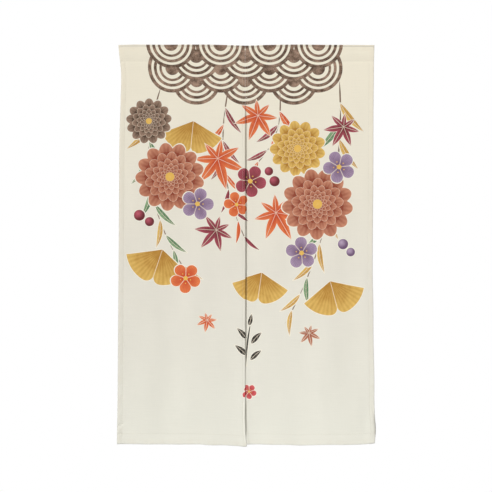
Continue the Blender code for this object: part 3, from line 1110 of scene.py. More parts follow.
def use(tree, group, **values):
    """Places a group in a tree and joins its inputs, named in small letters. Its outputs come as terms."""
    node = tree.nodes.new("ShaderNodeGroup")
    node.node_tree = group
    for label, value in values.items():
        link(tree, value, node.inputs[label.title()])
    return terms(tree, node)


def opaque(colour, gain=1.0):
    """A colour with full alpha, made lighter or darker by the gain."""
    return tuple(part * gain for part in colour) + (1.0,)


def object_place(tree):
    """The place in the object's own axes."""
    return tree.nodes.new("ShaderNodeTexCoord").outputs["Object"]


def add_bump(tree, shader, height, strength, distance):
    """Relief from a height, on the shader's normal."""
    bump = tree.nodes.new("ShaderNodeBump")
    bump.inputs["Strength"].default_value = strength
    bump.inputs["Distance"].default_value = distance
    link(tree, height, bump.inputs["Height"])
    link(tree, bump.outputs[0], shader.inputs["Normal"])


COLUMN_WIDE, NODE_HIGH = 190.0, 180.0


def lay_out(tree):
    """Sets the nodes in columns, each to the right of those that feed it."""
    depth = {node: 0 for node in tree.nodes}
    for _ in range(len(tree.nodes)):
        late = [joint for joint in tree.links if depth[joint.to_node] <= depth[joint.from_node]]
        if not late:
            break
        for joint in late:
            depth[joint.to_node] = max(depth[joint.to_node], depth[joint.from_node] + 1)
    filled = {}
    for node, column in depth.items():
        filled[column] = filled.get(column, 0) + 1
        node.location = (column * COLUMN_WIDE, -filled[column] * NODE_HIGH)


# Half the widths of the figures' lines, the leaves' veins and their slant, and the least measures
LINE_HALF = 0.0011
FINE_LINE_HALF = 0.00088
RING_LINE_HALF = 0.00099
VEIN_PITCH = 0.0170
VEIN_HALF = 0.0006
VEIN_SLANT = 1.1
VEIN_SHARE = 0.55
VEINED_LEAF = 0.0070
SMALLEST = 0.0001
LEAST_POWER = 0.1
# Shades: a leaf's deepest, the step over its rib and the rise to its edge, a petal's rise and depth, the
# inner rings' light and fall, and a berry's fall from its light
RIB_STEP = 3
LEAF_DEEP, LEAF_SIDES, LEAF_EDGE = 0.08, 0.34, 0.35
PETAL_RISE, PETAL_DEEP = 0.70, 0.05
RING_LIGHT, RING_FALL = 0.78, 2.1
BERRY_FALL = 0.95
# Round figures: the rings' shares, the reach below which a figure is a fan, streaks, stamens and hearts
RING_SHARE = 0.73
FAN_BELOW = 3.0
STREAKS = 46
STREAK_DEPTH = 0.10
STAMENS_AT = 0.34
STAMEN_REACH = 0.035
STAMEN_WIDE = 0.17
BLOSSOM_HEART = 0.15
BLOOM_HEART = 0.13
BERRY_LIGHT = 0.32
# The numbers of lobes over which a figure is round, has lobes, and has rings of petals
ROUND, LOBED, RINGED = 0.5, 1.5, 8.0


def figure_group():
    """One figure of the print, from a place in its own axes.

    With a the place along as a share of a leaf's half length s, and w its half width, the leaf is where
    |aside - bow s (1 - a^2)| < w (1 - a^2)(1 - shrink a). A round figure is where the radius is under
    s (1 - shrink (1 - cos angle) / 2)(1 - notch lobe^power), lobe being 0 in the middle of each lobe and 1
    between two, and within its reach of angle. A bloom of many lobes repeats that edge inwards in rings,
    each a share of the last and half a lobe round. Field is the distance inside the edge, Shade runs from
    deep to light, Line marks veins and petal edges, Heart is the middle and stamens of a blossom, and Border
    is 1 for a figure with a pale border.
    """
    tree, given, put = new_group(
        "print_figure",
        [(label, "vector") for label in ("Place", "Form", "Turn")],
        [(label, "number") for label in ("Field", "Shade", "Line", "Heart", "Border")],
    )
    along, aside, _ = split(tree, given["Place"])
    size, lobes, notch = split(tree, given["Form"])
    power, shrink, reach = split(tree, given["Turn"])

    share = along / size
    taper = (1 - share * share).math("MAXIMUM", 0.0)
    off = aside - power * size * taper
    span = notch * taper * (1 - shrink * share)
    leaf_field = span - abs(off) - (abs(along) - size).math("MAXIMUM", 0.0)
    half = (off / notch * RIB_STEP + 0.5).clamped()
    leaf_shade = LEAF_DEEP + half * LEAF_SIDES + abs(off) / notch * LEAF_EDGE
    wide = notch > VEINED_LEAF
    vein_share = ((along + abs(off) * VEIN_SLANT) / VEIN_PITCH).math("FRACT")
    vein = abs(vein_share - 0.5) * VEIN_PITCH < VEIN_HALF
    rib = abs(off) < FINE_LINE_HALF
    leaf_line = rib.math("MAXIMUM", vein * VEIN_SHARE) * wide

    radius = (along * along + aside * aside).math("SQRT")
    angle = aside.math("ARCTAN2", along)
    is_fan = reach < FAN_BELOW
    round_share = angle * lobes / TAU

    def lobe(phase):
        """0 at the middle of a lobe and 1 between two, the lobes being turned by a phase."""
        return abs((round_share + 0.5 + phase).math("FRACT") - 0.5) * 2

    in_lobe = lobe(is_fan * 0.5)
    far = 1 - shrink * (1 - angle.math("COSINE")) / 2
    sharp = power.math("MAXIMUM", LEAST_POWER)
    outline = size * far * (1 - notch * in_lobe**sharp)
    round_field = (outline - radius).math("MINIMUM", (reach - abs(angle)) * radius)
    across_lobe = math.pi / lobes * radius
    petal_edge = (1 - in_lobe) * across_lobe < LINE_HALF
    lobe_vein = in_lobe * across_lobe < FINE_LINE_HALF
    veined = power < 1.0
    lobed = lobes > LOBED
    plain_line = petal_edge.between(lobe_vein, veined) * lobed
    streak = (angle * STREAKS).math("COSINE") * STREAK_DEPTH
    plain_shade = radius / outline * PETAL_RISE + streak - PETAL_DEEP
    blossom = lobed * (power > 1.0) * (1 - is_fan)
    dots = (abs(radius / size - STAMENS_AT) < STAMEN_REACH) * (in_lobe < STAMEN_WIDE)
    plain_heart = (radius < size * BLOSSOM_HEART).math("MAXIMUM", dots) * blossom

    ring = (radius / size).math("LOGARITHM", RING_SHARE).math("FLOOR").math("MAXIMUM", 0.0)

    def ring_edge(number):
        """The distance inside the edge of a ring."""
        other = (number / 2).math("FRACT")
        return size * RING_SHARE**number * (1 - notch * lobe(other) ** 2) - radius

    near, before = ring_edge(ring), ring_edge(ring - 1)
    inside = before.between(near, near > 0.0)
    ring_shade = RING_LIGHT - inside / (size * RING_SHARE**ring) * RING_FALL + streak
    ring_line = inside < RING_LINE_HALF
    ringed = lobes > RINGED
    ring_heart = (radius < size * BLOOM_HEART) * ringed

    lit_along, lit_aside = along / size + BERRY_LIGHT, aside / size + BERRY_LIGHT
    berry_shade = 1.0 - (lit_along * lit_along + lit_aside * lit_aside).math("SQRT") * BERRY_FALL
    round_shade = berry_shade.between(plain_shade, lobed).between(ring_shade, ringed)
    round_line = plain_line.between(ring_line, ringed)
    heart = (plain_heart * (1 - ringed)).math("MAXIMUM", ring_heart)
    is_round = lobes > ROUND
    shown = size > SMALLEST
    put("Field", (leaf_field.between(round_field, is_round) + 1) * shown - 1)
    put("Shade", leaf_shade.between(round_shade, is_round).clamped())
    put("Line", leaf_line.between(round_line, is_round))
    put("Heart", heart * is_round)
    put("Border", reach.math("MINIMUM", 1.0))
    lay_out(tree)
    return tree


MOTTLING = 0.9


def ink_group():
    """An ink's colour: its tone picks a deep and a light colour, and the shade and the mottle mix them."""
    tree, given, put = new_group(
        "print_ink", [("Tone", "number"), ("Shade", "number"), ("Mottle", "number")], [("Colour", "colour")]
    )
    places = [i / len(TONES) for i in range(len(TONES))]
    stops = [list(zip(places, map(linear, colours))) for colours in zip(*TONES)]
    deep, light = (ramp(tree, given["Tone"], part, "CONSTANT") for part in stops)
    share = (given["Shade"] + (given["Mottle"] - 0.5) * MOTTLING).clamped()
    put("Colour", mix(tree, share, deep, light))
    lay_out(tree)
    return tree


BAND_RADIUS = 0.0850
BAND_ROWS = 4
BAND_BLEED = 0.0120
# Rings of ink as (middle, half width), both as shares of the circle's radius
BAND_RINGS = ((0.930, 0.070), (0.700, 0.058), (0.480, 0.050), (0.140, 0.140))
INK_EDGE = 0.0006
FIGURE_EDGE = 0.0007


def band_group():
    """The common scale pattern along the top, as the ink's cover at a flat place.

    Circles stand side by side in rows half a radius apart, each row half a circle along from the last, and
    the higher row lies over the lower. Rings of ink follow each circle that shows. The rows reach 4 and 3
    radii from the middle by turns.
    """
    inputs = [("Across", "number"), ("Down", "number")]
    tree, given, put = new_group("scale_band", inputs, [("Cover", "number")])
    across, down = given["Across"], given["Down"]
    radius = None
    for row in reversed(range(BAND_ROWS)):
        shift, limit = ((0.0, 4), (0.5, 3))[row % 2]
        aside = ((across / (2 * BAND_RADIUS) + shift).math("FRACT") - 0.5) * (2 * BAND_RADIUS)
        below = down - row * BAND_RADIUS / 2
        here = (aside * aside + below * below).math("SQRT") / BAND_RADIUS
        covers = (here < 1.0) * (abs(across) < limit * BAND_RADIUS)
        radius = (here * 0 + 2.0 if radius is None else radius).between(here, covers)
    cover = None
    for middle, half in BAND_RINGS:
        ring = ((half - abs(radius - middle)) * BAND_RADIUS / INK_EDGE + 0.5).clamped()
        cover = ring if cover is None else cover.math("MAXIMUM", ring)
    put("Cover", cover * (down > -BAND_BLEED))
    lay_out(tree)
    return tree


# Noise in the ink as (scale, detail, roughness), how much of the two the figures' mottle and the band's
# shade take with their level, and how much a line and a heart cover
GRAIN, CLOUD = (520.0, 3.0, 0.65), (34.0, 3.0, 0.6)
MOTTLE, ROUGH = (0.45, 0.75, -0.10), (2.6, 3.0, 0.45)
LINE_COVER, HEART_COVER = 0.72, 0.9


def print_group(settings):
    """The whole print: the band, then each layer's figure with its pale border over what is under it."""
    tree, _, put = new_group("curtain_print", [], [("Colour", "colour"), ("Cover", "number")])
    figure, ink, band = figure_group(), ink_group(), band_group()
    place = attribute(tree, "cloth_place")
    across, down, _ = split(tree, place)
    grain, cloud = noise(tree, place, *GRAIN), noise(tree, place, *CLOUD)
    mottle = (grain * MOTTLE[0] + cloud * MOTTLE[1] + MOTTLE[2]).clamped()
    rough = ((grain - 0.5) * ROUGH[0] + (cloud - 0.5) * ROUGH[1] + ROUGH[2]).clamped()
    cover = use(tree, band, across=across, down=down)["Cover"]
    colour = use(tree, ink, tone=(BROWN + 0.5) / len(TONES), shade=rough, mottle=0.5)["Colour"]
    for number in range(LAYERS):
        own, form, turn = (attribute(tree, f"figure_{number}_{part}") for part in ("place", "form", "turn"))
        shape = use(tree, figure, place=own, form=form, turn=turn)
        field, line, heart, border = (shape[name] for name in ("Field", "Line", "Heart", "Border"))
        body = (field / FIGURE_EDGE + 0.5).clamped()
        halo = ((field + border * settings.halo) / FIGURE_EDGE + 0.5).clamped()
        inked = use(tree, ink, tone=split(tree, own)[2], shade=shape["Shade"], mottle=mottle)["Colour"]
        inked = mix(tree, line * LINE_COVER, inked, linear(PALE_LINE))
        inked = mix(tree, heart * HEART_COVER, inked, linear(HEART))
        colour = mix(tree, halo, colour, mix(tree, body, opaque(settings.halo_colour), inked))
        cover = cover.math("MAXIMUM", halo)
    put("Colour", colour)
    put("Cover", cover)
    lay_out(tree)
    return tree


# The yarn's slubs as noise per metre (across, down) with a shift, and the cloth's patches as in the ink
WEFT_SLUB, WARP_SLUB = (14, 620, 0.0), (560, 11, 3.0)
PATCHES = (7.0, 3.0, 0.6)
# How much each of them adds to the height and to the tint; the ridge's part of the tint is painted shade,
# darker between the threads
RIDGE_HIGH, WEFT_HIGH, WARP_HIGH = 0.6, 0.5, 0.25
RIDGE_PAINTED_SHADE, WEFT_TINT, WARP_TINT, PATCH_TINT = 0.05, 0.075, 0.035, 0.030
RIDGE_MEAN = 0.6


def weave_group(cloth):
    """A plain weave: each thread is a rounded ridge, over its neighbour at every second crossing.

    Height is the thread's height from 0 to 1 and its slubs, and Tint is 1 with small streaks of lighter and
    darker yarn, and painted shade that darkens it between the threads.
    """
    tree, _, put = new_group("plain_weave", [], [("Height", "number"), ("Tint", "number")])
    place = attribute(tree, "cloth_place")
    across, down, _ = split(tree, place)
    warp = (across * (math.pi / cloth.weave_pitch)).math("COSINE")
    weft = (down * (math.pi / cloth.weave_pitch)).math("COSINE")
    crossing = warp * weft
    over, under = abs(warp) * (crossing * 0.5 + 0.5), abs(weft) * (0.5 - crossing * 0.5)
    ridge = over.math("MAXIMUM", under)
    weft_slub, warp_slub = (streaked_noise(tree, across, down, slub) for slub in (WEFT_SLUB, WARP_SLUB))
    patch = noise(tree, place, *PATCHES)
    put("Height", ridge * RIDGE_HIGH + weft_slub * WEFT_HIGH + warp_slub * WARP_HIGH)
    streaks = (weft_slub - 0.5) * WEFT_TINT + (warp_slub - 0.5) * WARP_TINT + (patch - 0.5) * PATCH_TINT
    # Painted shade: lighter on the threads' tops and darker between them
    put("Tint", streaks + 1 + (ridge - RIDGE_MEAN) * RIDGE_PAINTED_SHADE)
    lay_out(tree)
    return tree


def new_material(name):
    """A material with its shader, as (material, tree, shader)."""
    material = bpy.data.materials.new(name)
    material.use_nodes = True
    tree = material.node_tree
    return material, tree, tree.nodes["Principled BSDF"]


# Painted shade along the folded edges, greyer painted shade along the top edge down to a height, and the
# tint of the patches in the hems
EDGE_PAINTED_SHADE = (0.890, 0.895, 0.915, 1.0)
TOP_PAINTED_SHADE = (0.790, 0.790, 0.800, 1.0)
TOP_SHADE_END = 0.0200
PATCH = (0.985, 0.970, 0.958, 1.0)
WHITE = (1.0, 1.0, 1.0, 1.0)
HEM_GAIN = 1.012
# The line of painted shade and the patches, as (start, reach) from the folded edge
EDGE_SHADE_LINE = (0.0016, 0.0024)
EDGE_HEM = (0.0120, 0.0100)
# The patches' noise, and the top line's share of the greyer painted shade, more to the right
PATCH_NOISE, PATCH_DETAIL = (40, 26, 7.0), (3.0, 0.6)
PATCH_GAIN, PATCH_LEVEL = 3.4, 1.35
TOP_SLANT, TOP_SHARE = 0.6, 0.72
# The ground's colours as shares of a length down, the last one the bottom hem's
GROUND_LENGTH = 1.4
GROUND_PLACES = (0.09, 0.57, 0.955, 1.0)


def edge_shade_group():
    """The folded edges' colour: a line of painted shade along them, and patches in the hems."""
    tree, _, put = new_group("edge_shade_and_patches", [], [("Colour", "colour")])
    across, down, fold = split(tree, attribute(tree, "cloth_place"))
    line, in_hem = (1 - ((fold - start) / reach).clamped() for start, reach in (EDGE_SHADE_LINE, EDGE_HEM))
    cloud = streaked_noise(tree, across, down, PATCH_NOISE, *PATCH_DETAIL)
    patches = (cloud * PATCH_GAIN - PATCH_LEVEL).clamped()
    # The line of painted shade along the edges, greyer at the top and more so to the right
    at_top = (down < TOP_SHADE_END) * (across * TOP_SLANT + TOP_SHARE).clamped()
    grey = mix(tree, at_top, EDGE_PAINTED_SHADE, TOP_PAINTED_SHADE)
    put("Colour", mix(tree, line, mix(tree, patches * in_hem, WHITE, PATCH), grey))
    lay_out(tree)
    return tree


# The cloth's roughness and what raised thread and ink take from it, its shine, and its relief as (strength,
# distance)
CLOTH_ROUGH, THREAD_SHINE, INK_SHINE = 0.97, 0.10, 0.05
CLOTH_SPECULAR, CLOTH_SHEEN = 0.18, 0.05
WEAVE_BUMP = (0.55, 0.00006)


def cloth_material(name, cloth, groups, cover_share):
    """The woven ground with its soft change of colour from top to bottom, and the ink over it."""
    material, tree, shader = new_material(name)
    printed, weave, edge = groups
    down = split(tree, attribute(tree, "cloth_place"))[1]
    colours = [opaque(colour) for colour in (cloth.top_colour, cloth.middle_colour, cloth.low_colour)]
    colours.append(opaque(cloth.low_colour, HEM_GAIN))
    ground = ramp(tree, down / GROUND_LENGTH, list(zip(GROUND_PLACES, colours)))
    threads = use(tree, weave)
    inked = use(tree, printed)
    cover = inked["Cover"] * cover_share
    colour = mix(tree, cover, ground, inked["Colour"])
    grey = tree.nodes.new("ShaderNodeCombineColor")
    for socket in grey.inputs:
        link(tree, threads["Tint"], socket)
    # Painted shade comes in here: between the weave's threads, and along the folded edges
    for tint in (grey.outputs[0], use(tree, edge)["Colour"]):
        colour = mix(tree, 1.0, colour, tint, "MULTIPLY")
    link(tree, colour, shader.inputs["Base Color"])
    roughness = CLOTH_ROUGH - threads["Height"] * THREAD_SHINE - cover * INK_SHINE
    link(tree, roughness, shader.inputs["Roughness"])
    add_bump(tree, shader, threads["Height"], *WEAVE_BUMP)
    shader.inputs["Specular IOR Level"].default_value = CLOTH_SPECULAR
    shader.inputs["Sheen Weight"].default_value = CLOTH_SHEEN
    lay_out(tree)
    return material


PLY_PITCH = 0.0009
PLY_GROOVE_SHADE = 0.72
FUZZ_SCALE = 60.0
PLY_SHARE, FUZZ_SHARE = 0.6, 0.5
THREAD_ROUGH, PLY_SHINE = 0.80, 0.12
PLY_BUMP = (0.6, 0.00005)


def thread_material(sewing):
    """Twisted sewing thread: slanting stripes of painted shade, darker in the twist's grooves, with a little
    change of colour.
    """
    material, tree, shader = new_material("sewing_thread")
    along, around, _ = split(tree, attribute(tree, "thread_place"))
    ply = (along * (TAU / PLY_PITCH) + around * TAU).math("SINE") * 0.5 + 0.5
    share = (ply * PLY_SHARE + noise(tree, object_place(tree), FUZZ_SCALE) * FUZZ_SHARE).clamped()
    # Painted shade: the colour darkens where the twist's relief is low
    colour = mix(tree, share, opaque(sewing.colour, PLY_GROOVE_SHADE), opaque(sewing.colour))
    link(tree, colour, shader.inputs["Base Color"])
    link(tree, THREAD_ROUGH - ply * PLY_SHINE, shader.inputs["Roughness"])
    add_bump(tree, shader, ply, *PLY_BUMP)
    lay_out(tree)
    return material


def shared(name, make):
    """The material of that name, made the first time it is asked for."""
    return bpy.data.materials.get(name) or make()


# The sewing: closed little capsules of thread, laid along lines on the cloth

# Rings of a capsule as (share of the half length, share of the radius)
CAPSULE_PROFILE = ((-0.90, 0.62), (-0.55, 1.0), (0.55, 1.0), (0.90, 0.62))
CAPSULE_SIDES = 5
STITCH_SINK = 0.35
WAY_STEP = 0.001


def capsule_faces():
    """The faces of one capsule: rings of sides between two poles, numbered ring by ring, the poles last."""
    side = np.arange(CAPSULE_SIDES)
    after = (side + 1) % CAPSULE_SIDES
    low = CAPSULE_SIDES * np.arange(len(CAPSULE_PROFILE) - 1)[:, None]
    high = low + CAPSULE_SIDES
    walls = np.stack([low + side, low + after, high + after, high + side], axis=-1).reshape(-1, 4)
    top, pole = high[-1, 0], high[-1, 0] + CAPSULE_SIDES
    caps = [
        np.stack([np.full_like(side, pole), after, side], axis=-1),
        np.stack([np.full_like(side, pole + 1), top + side, top + after], axis=-1),
    ]
    return walls, np.concatenate(caps)


def stitches(middle, along, outward, sewing):
    """Points, faces and thread places of many stitches.

    Each is a capsule: its middle plus t half lengths along, plus a ring of the thread's radius in the plane
    of the outward and sideways directions, narrowing towards the poles.
    """
    along = unit(along)
    aside = unit(np.cross(outward, along))
    outward = np.cross(along, aside)
    half, radius = sewing.stitch / 2, sewing.thread_radius
    t, r = np.vstack([np.repeat(CAPSULE_PROFILE, CAPSULE_SIDES, axis=0), [(-1.0, 0.0), (1.0, 0.0)]]).T
    turn = TAU * np.arange(CAPSULE_SIDES) / CAPSULE_SIDES
    a = np.append(np.tile(turn, len(CAPSULE_PROFILE)), [0.0, 0.0])
    points = middle[:, None, :]
    for way, size in ((along, t * half), (aside, r * radius * np.cos(a)), (outward, r * radius * np.sin(a))):
        points = points + way[:, None, :] * size[:, None]
    offset = (np.arange(len(middle)) * len(t))[:, None, None]
    faces = [(part + offset).reshape(-1, part.shape[1]) for part in capsule_faces()]
    place = np.stack([t * half, a / TAU, np.zeros(len(t))], axis=-1)
    return points.reshape(-1, 3), faces, np.tile(place, (len(middle), 1))


def along_line(points, sewing):
    """Middles and directions of stitches at an even pitch along a line of points."""
    run = running(np.linalg.norm(np.diff(points, axis=0), axis=1))
    count = int(run[-1] / sewing.pitch)
    at = (np.arange(count) + 0.5) * run[-1] / count
    middle, ahead, behind = (
        np.stack([np.interp(at + step, run, values) for values in points.T], axis=-1)
        for step in (0.0, WAY_STEP, -WAY_STEP)
    )
    return middle, ahead - behind


def sew_both(name, fronts, backs, sewing):
    """A piece of thread for the front and one for the back, each from several lines of stitches."""
    for side, lines, outward in (("front", fronts, FRONT), ("back", backs, BACK)):
        middles, ways = zip(*(along_line(line, sewing) for line in lines))
        add_stitches(f"{name}_{side}", np.concatenate(middles), np.concatenate(ways), outward, sewing)


def add_stitches(name, middle, way, outward, sewing):
    """One piece of thread: a stitch at each middle, along its way and facing outward."""
    points, faces, place = stitches(middle, way, np.broadcast_to(outward, middle.shape), sewing)
    piece = make_object(name, points, faces)
    add_vectors(piece.data, "thread_place", "POINT", place)
    piece.data.materials.append(shared("sewing_thread", lambda: thread_material(sewing)))
    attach(piece, "root")


FRONT, BACK = (0.0, -1.0, 0.0), (0.0, 1.0, 0.0)
LINE_POINTS = 500
# Where lines of sewing start and end: the pocket's and the bottom hem's as shares of a width's breadth, the
# side hems' below the pocket's sewing and above the hem's front and the hem's back
POCKET_ENDS = (0.004, 0.996)
HEM_ENDS = (0.006, 0.994)
SEAM_SPARE = 0.004
FRONT_SPARE = 0.003
BACK_SPARE = 0.002


def line_on(width, share, down, behind):
    """A line of points on a width, from arrays of its share across, its height and its distance behind."""
    share, down, behind = np.broadcast_arrays(share, down, behind)
    return place_on_cloth(width, share, down, hang_of(width, share), behind)


def behind_hem(width, cloth, share):
    """How far behind the front the back of a hem across lies."""
    return hem_distances(width, cloth, share * breadth(width))[0] + cloth.thickness


def sewing_depths(cloth, sewing):
    """How deep a stitch sinks into the cloth, and how far behind the front the back of a side hem lies."""
    return sewing.thread_radius * STITCH_SINK, 2 * cloth.fold_radius + cloth.thickness


class CURTAIN_OT_cloth_widths(bpy.types.Operator):
    """Build both widths of cloth, each one sheet from the bottom hem up to the back of the pocket"""

    bl_idname = "curtain.cloth_widths"
    bl_label = "Cloth Widths"

    def execute(self, context):
        cloth = context.scene.curtain_cloth
        settings = context.scene.curtain_print
        groups = (print_group(settings), weave_group(cloth), edge_shade_group())
        front = cloth_material("printed_cloth", cloth, groups, settings.strength)
        back = cloth_material("cloth_back", cloth, groups, settings.show_through)
        for width in WIDTHS:
            points, flat_across, flat_down, from_fold = width_surface(width, cloth)
            outward = unit(np.cross(tangents(points, 1), tangents(points, 0)))
            sides = [points + outward * cloth.thickness / 2, points - outward * cloth.thickness / 2]
            faces = cloth_faces(*points.shape[:2])
            piece = make_object(width.name, np.concatenate(sides).reshape(-1, 3), faces)
            add_print(piece.data, faces, flat_across, flat_down, from_fold)
            add_bake_map(piece.data, faces, flat_across, flat_down)
            for material in (front, back):
                piece.data.materials.append(material)
            cells = len(faces[0])
            shows = np.concatenate([np.zeros(cells), np.ones(cells + len(faces[2]))]).astype(np.int32)
            piece.data.polygons.foreach_set("material_index", shows)
            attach(piece, "root")
            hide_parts(width.node, "heading")
        return {"FINISHED"}


class CURTAIN_OT_pocket_sewing(bpy.types.Operator):
    """Sew the rod pocket closed along its lower edge, on the front and on the back"""

    bl_idname = "curtain.pocket_sewing"
    bl_label = "Pocket Sewing"

    def execute(self, context):
        cloth, sewing = context.scene.curtain_cloth, context.scene.curtain_sewing
        sink, _ = sewing_depths(cloth, sewing)
        share = np.linspace(*POCKET_ENDS, LINE_POINTS)
        fronts = [line_on(width, share, POCKET_HEIGHT, -sink) for width in WIDTHS]
        depths = [behind_hem(width, cloth, share) + sink for width in WIDTHS]
        backs = [line_on(width, share, POCKET_HEIGHT, depth) for width, depth in zip(WIDTHS, depths)]
        sew_both("pocket_stitches", fronts, backs, sewing)
        return {"FINISHED"}


class CURTAIN_OT_hem_sewing(bpy.types.Operator):
    """Sew the side, slit and bottom hems of both widths, on the front and on the back"""

    bl_idname = "curtain.hem_sewing"
    bl_label = "Hem Sewing"

    def execute(self, context):
        cloth, sewing = context.scene.curtain_cloth, context.scene.curtain_sewing
        sink, layer = sewing_depths(cloth, sewing)
        run = np.linspace(0.0, 1.0, LINE_POINTS)
        high = POCKET_HEIGHT + SEAM_SPARE
        for width in WIDTHS:
            wide = breadth(width)
            fronts, backs = [], []
            for share in (width.sewing[0] / wide, 1 - width.sewing[1] / wide):
                hang = hang_of(width, np.array([share]))[0]
                low_front, low_back = hang - FRONT_SPARE, hang - BOTTOM_HEM - BACK_SPARE
                fronts.append(line_on(width, share, high + (low_front - high) * run, -sink))
                backs.append(line_on(width, share, high + (low_back - high) * run, layer + sink))
            share = np.linspace(*HEM_ENDS, LINE_POINTS)
            down = hang_of(width, share) - BOTTOM_SEWING
            fronts.append(line_on(width, share, down, -sink))
            backs.append(line_on(width, share, down, behind_hem(width, cloth, share) + sink))
            sew_both(f"{width.name}_stitches", fronts, backs, sewing)
        return {"FINISHED"}


JOIN_PITCH = 0.0042
JOIN_WAY, LEVEL = (1.0, 0.0, 0.25), (1.0, 0.0, 0.0)
TACK_STITCHES = 9
TACK_PITCH = 0.00055


class CURTAIN_OT_join_sewing(bpy.types.Operator):
    """Sew the two widths to each other above the slit, and fasten the top of the slit with a small bar"""

    bl_idname = "curtain.join_sewing"
    bl_label = "Join Sewing"

    def execute(self, context):
        cloth, sewing = context.scene.curtain_cloth, context.scene.curtain_sewing
        sink, layer = sewing_depths(cloth, sewing)
        down = np.arange(POCKET_HEIGHT + SEAM_SPARE, SLIT_TOP - SEAM_SPARE, JOIN_PITCH)
        rows = SLIT_TOP + (np.arange(TACK_STITCHES) - TACK_STITCHES / 2) * TACK_PITCH
        for name, down, across, way, behind, outward in (
            ("join_stitches_back", down, curve(SLIT_LINE, down), JOIN_WAY, layer + sink, BACK),
            ("slit_tack_front", rows, 0.0, LEVEL, -sink, FRONT),
            ("slit_tack_back", rows, 0.0, LEVEL, layer + sink, BACK),
        ):
            middle = line_on(WIDTHS[0], np.ones_like(down), down, behind)
            middle[:, 0] = across
            add_stitches(name, middle, np.tile(way, (len(down), 1)), outward, sewing)
        return {"FINISHED"}


FLOOR_RADIUS = 1.900
FLOOR_RINGS = 12
FLOOR_SIDES = 96
FLOOR_BACK = 0.400
FLOOR_NOISE = (1.5, 3.0)
FLOOR_ROUGH, FLOOR_ROUGH_SPAN = 0.80, 0.1
FLOOR_TONES = ((0.90, 0.90, 0.895), (0.93, 0.93, 0.925))
CAMERA_ACROSS = -0.0012
CAMERA_DOWN = 0.7056
SENSOR = 36.0
KEY_PLACE = (-2.600, -2.600, 0.900)
BACK_PLACE = (2.200, 2.900, 0.600)
FILL_PLACE = (1.900, -1.600, -0.500)
FILL_SIZE = 1.200


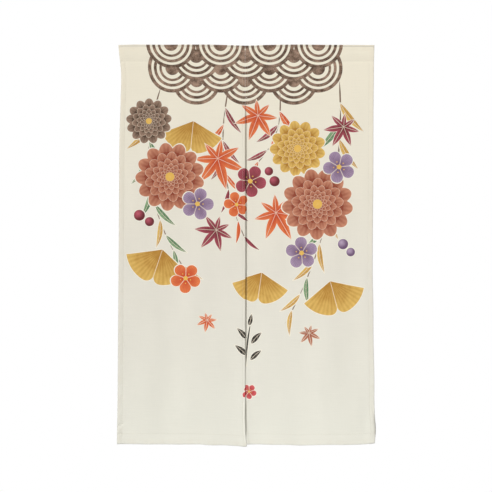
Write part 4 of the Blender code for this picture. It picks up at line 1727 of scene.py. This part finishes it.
class CURTAIN_OT_studio(bpy.types.Operator):
    """Set up the pale floor, the white room, the soft light and the camera"""

    bl_idname = "curtain.studio"
    bl_label = "Studio"

    def execute(self, context):
        studio = context.scene.curtain_studio
        self.add_floor(studio)
        self.add_world(context.scene, studio)
        self.add_light(context.scene, "key", KEY_PLACE, studio.key_strength, studio.key_angle)
        self.add_light(context.scene, "back", BACK_PLACE, studio.back_strength, studio.key_angle)
        self.add_light(context.scene, "fill", FILL_PLACE, studio.fill_power, None)
        self.add_camera(context.scene, studio)
        context.scene.view_settings.view_transform = "Standard"
        return {"FINISHED"}

    def add_floor(self, studio):
        """A round floor: rings at growing radii, the first one a pole's fan of triangles."""
        radius = FLOOR_RADIUS * np.arange(1, FLOOR_RINGS + 1) / FLOOR_RINGS
        angle = TAU * np.arange(FLOOR_SIDES) / FLOOR_SIDES
        x = (radius[:, None] * np.cos(angle)).ravel()
        y = (radius[:, None] * np.sin(angle)).ravel() + FLOOR_BACK
        points = np.stack([x, y, np.full_like(x, -studio.floor_drop)], axis=-1)
        points = np.vstack([points, [0.0, FLOOR_BACK, -studio.floor_drop]])
        index = np.arange(FLOOR_RINGS * FLOOR_SIDES).reshape(FLOOR_RINGS, FLOOR_SIDES)
        after = np.roll(index, -1, axis=1)
        rings = np.stack([index[:-1], index[1:], after[1:], after[:-1]], axis=-1).reshape(-1, 4)
        fan = np.stack([np.full(FLOOR_SIDES, len(points) - 1), index[0], after[0]], axis=-1)
        floor = make_object("studio_floor", points, [rings, fan])
        material, tree, shader = new_material("pale_floor")
        cloud = noise(tree, object_place(tree), *FLOOR_NOISE)
        link(tree, mix(tree, cloud, *map(opaque, FLOOR_TONES)), shader.inputs["Base Color"])
        link(tree, FLOOR_ROUGH + cloud * FLOOR_ROUGH_SPAN, shader.inputs["Roughness"])
        lay_out(tree)
        floor.data.materials.append(material)
        floor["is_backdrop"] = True

    def add_world(self, scene, studio):
        """White where the camera looks past the curtain, and a little less bright as a light."""
        world = bpy.data.worlds.new("white_room")
        world.use_nodes = True
        tree = world.node_tree
        background = tree.nodes["Background"]
        background.inputs["Color"].default_value = (1.0, 1.0, 1.0, 1.0)
        path = tree.nodes.new("ShaderNodeLightPath")
        seen = Term(tree, path.outputs["Is Camera Ray"])
        link(tree, seen * (1.0 - studio.surround) + studio.surround, background.inputs["Strength"])
        lay_out(tree)
        scene.world = world

    def add_light(self, scene, name, place, strength, angle):
        """A soft light towards the curtain's middle: far off and of an angle, or else a near square."""
        light = bpy.data.lights.new(name, "SUN" if angle else "AREA")
        if angle:
            light.angle = angle
        else:
            light.size = FILL_SIZE
        light.energy = strength
        lamp = bpy.data.objects.new(name, light)
        lamp.location = place
        aim = np.array([0.0, 0.0, -CAMERA_DOWN]) - np.array(place)
        level = math.hypot(aim[0], aim[1])
        lamp.rotation_euler = (math.atan2(level, -aim[2]), 0.0, math.atan2(-aim[0], aim[1]))
        scene.collection.objects.link(lamp)

    def add_camera(self, scene, studio):
        """A level camera straight in front of the curtain's middle."""
        data = bpy.data.cameras.new("view")
        data.sensor_width = SENSOR
        data.lens = studio.lens
        camera = bpy.data.objects.new("view", data)
        camera.location = (CAMERA_ACROSS, -studio.distance, -CAMERA_DOWN)
        camera.rotation_euler = (math.pi / 2, 0.0, 0.0)
        scene.collection.objects.link(camera)
        scene.camera = camera


class CURTAIN_PT_sidebar(bpy.types.Panel):
    """Lists the curtain's sizes and the steps that build it."""

    bl_label = "Doorway Curtain"
    bl_idname = "CURTAIN_PT_sidebar"
    bl_space_type = "VIEW_3D"
    bl_region_type = "UI"
    bl_category = "Curtain"

    def draw(self, context):
        """A box of settings for each group, and a button for each step."""
        layout = self.layout
        for group in SETTINGS:
            box = layout.box()
            settings = getattr(context.scene, group)
            box.label(text=type(settings).__doc__)
            for name in type(settings).__annotations__:
                box.prop(settings, name)
        for step in STEPS:
            layout.operator(step.bl_idname)


SETTINGS = {
    "curtain_cloth": CurtainCloth,
    "curtain_print": CurtainPrint,
    "curtain_sewing": CurtainSewing,
    "curtain_studio": CurtainStudio,
}
STEPS = (
    CURTAIN_OT_cloth_widths,
    CURTAIN_OT_pocket_sewing,
    CURTAIN_OT_hem_sewing,
    CURTAIN_OT_join_sewing,
    CURTAIN_OT_studio,
)


def register():
    """Registers the classes, and adds each group of settings to the scene."""
    for group in (*SETTINGS.values(), *STEPS, CURTAIN_PT_sidebar):
        bpy.utils.register_class(group)
    for name, group in SETTINGS.items():
        setattr(bpy.types.Scene, name, PointerProperty(type=group))


def unregister():
    """Takes the settings and the classes away again."""
    for name in SETTINGS:
        delattr(bpy.types.Scene, name)
    for group in reversed((*SETTINGS.values(), *STEPS, CURTAIN_PT_sidebar)):
        bpy.utils.unregister_class(group)


def main():
    """Registers the classes, builds every piece in order, and measures both boxes."""
    register()
    bpy.ops.curtain.cloth_widths()
    bpy.ops.curtain.pocket_sewing()
    bpy.ops.curtain.hem_sewing()
    bpy.ops.curtain.join_sewing()
    bpy.ops.curtain.studio()
    boxes = {"cad": CAD_BOX, "visual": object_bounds()}
    boxes = {name: [list(corner) for corner in box] for name, box in boxes.items()}


if __name__ == "__main__":
    main()
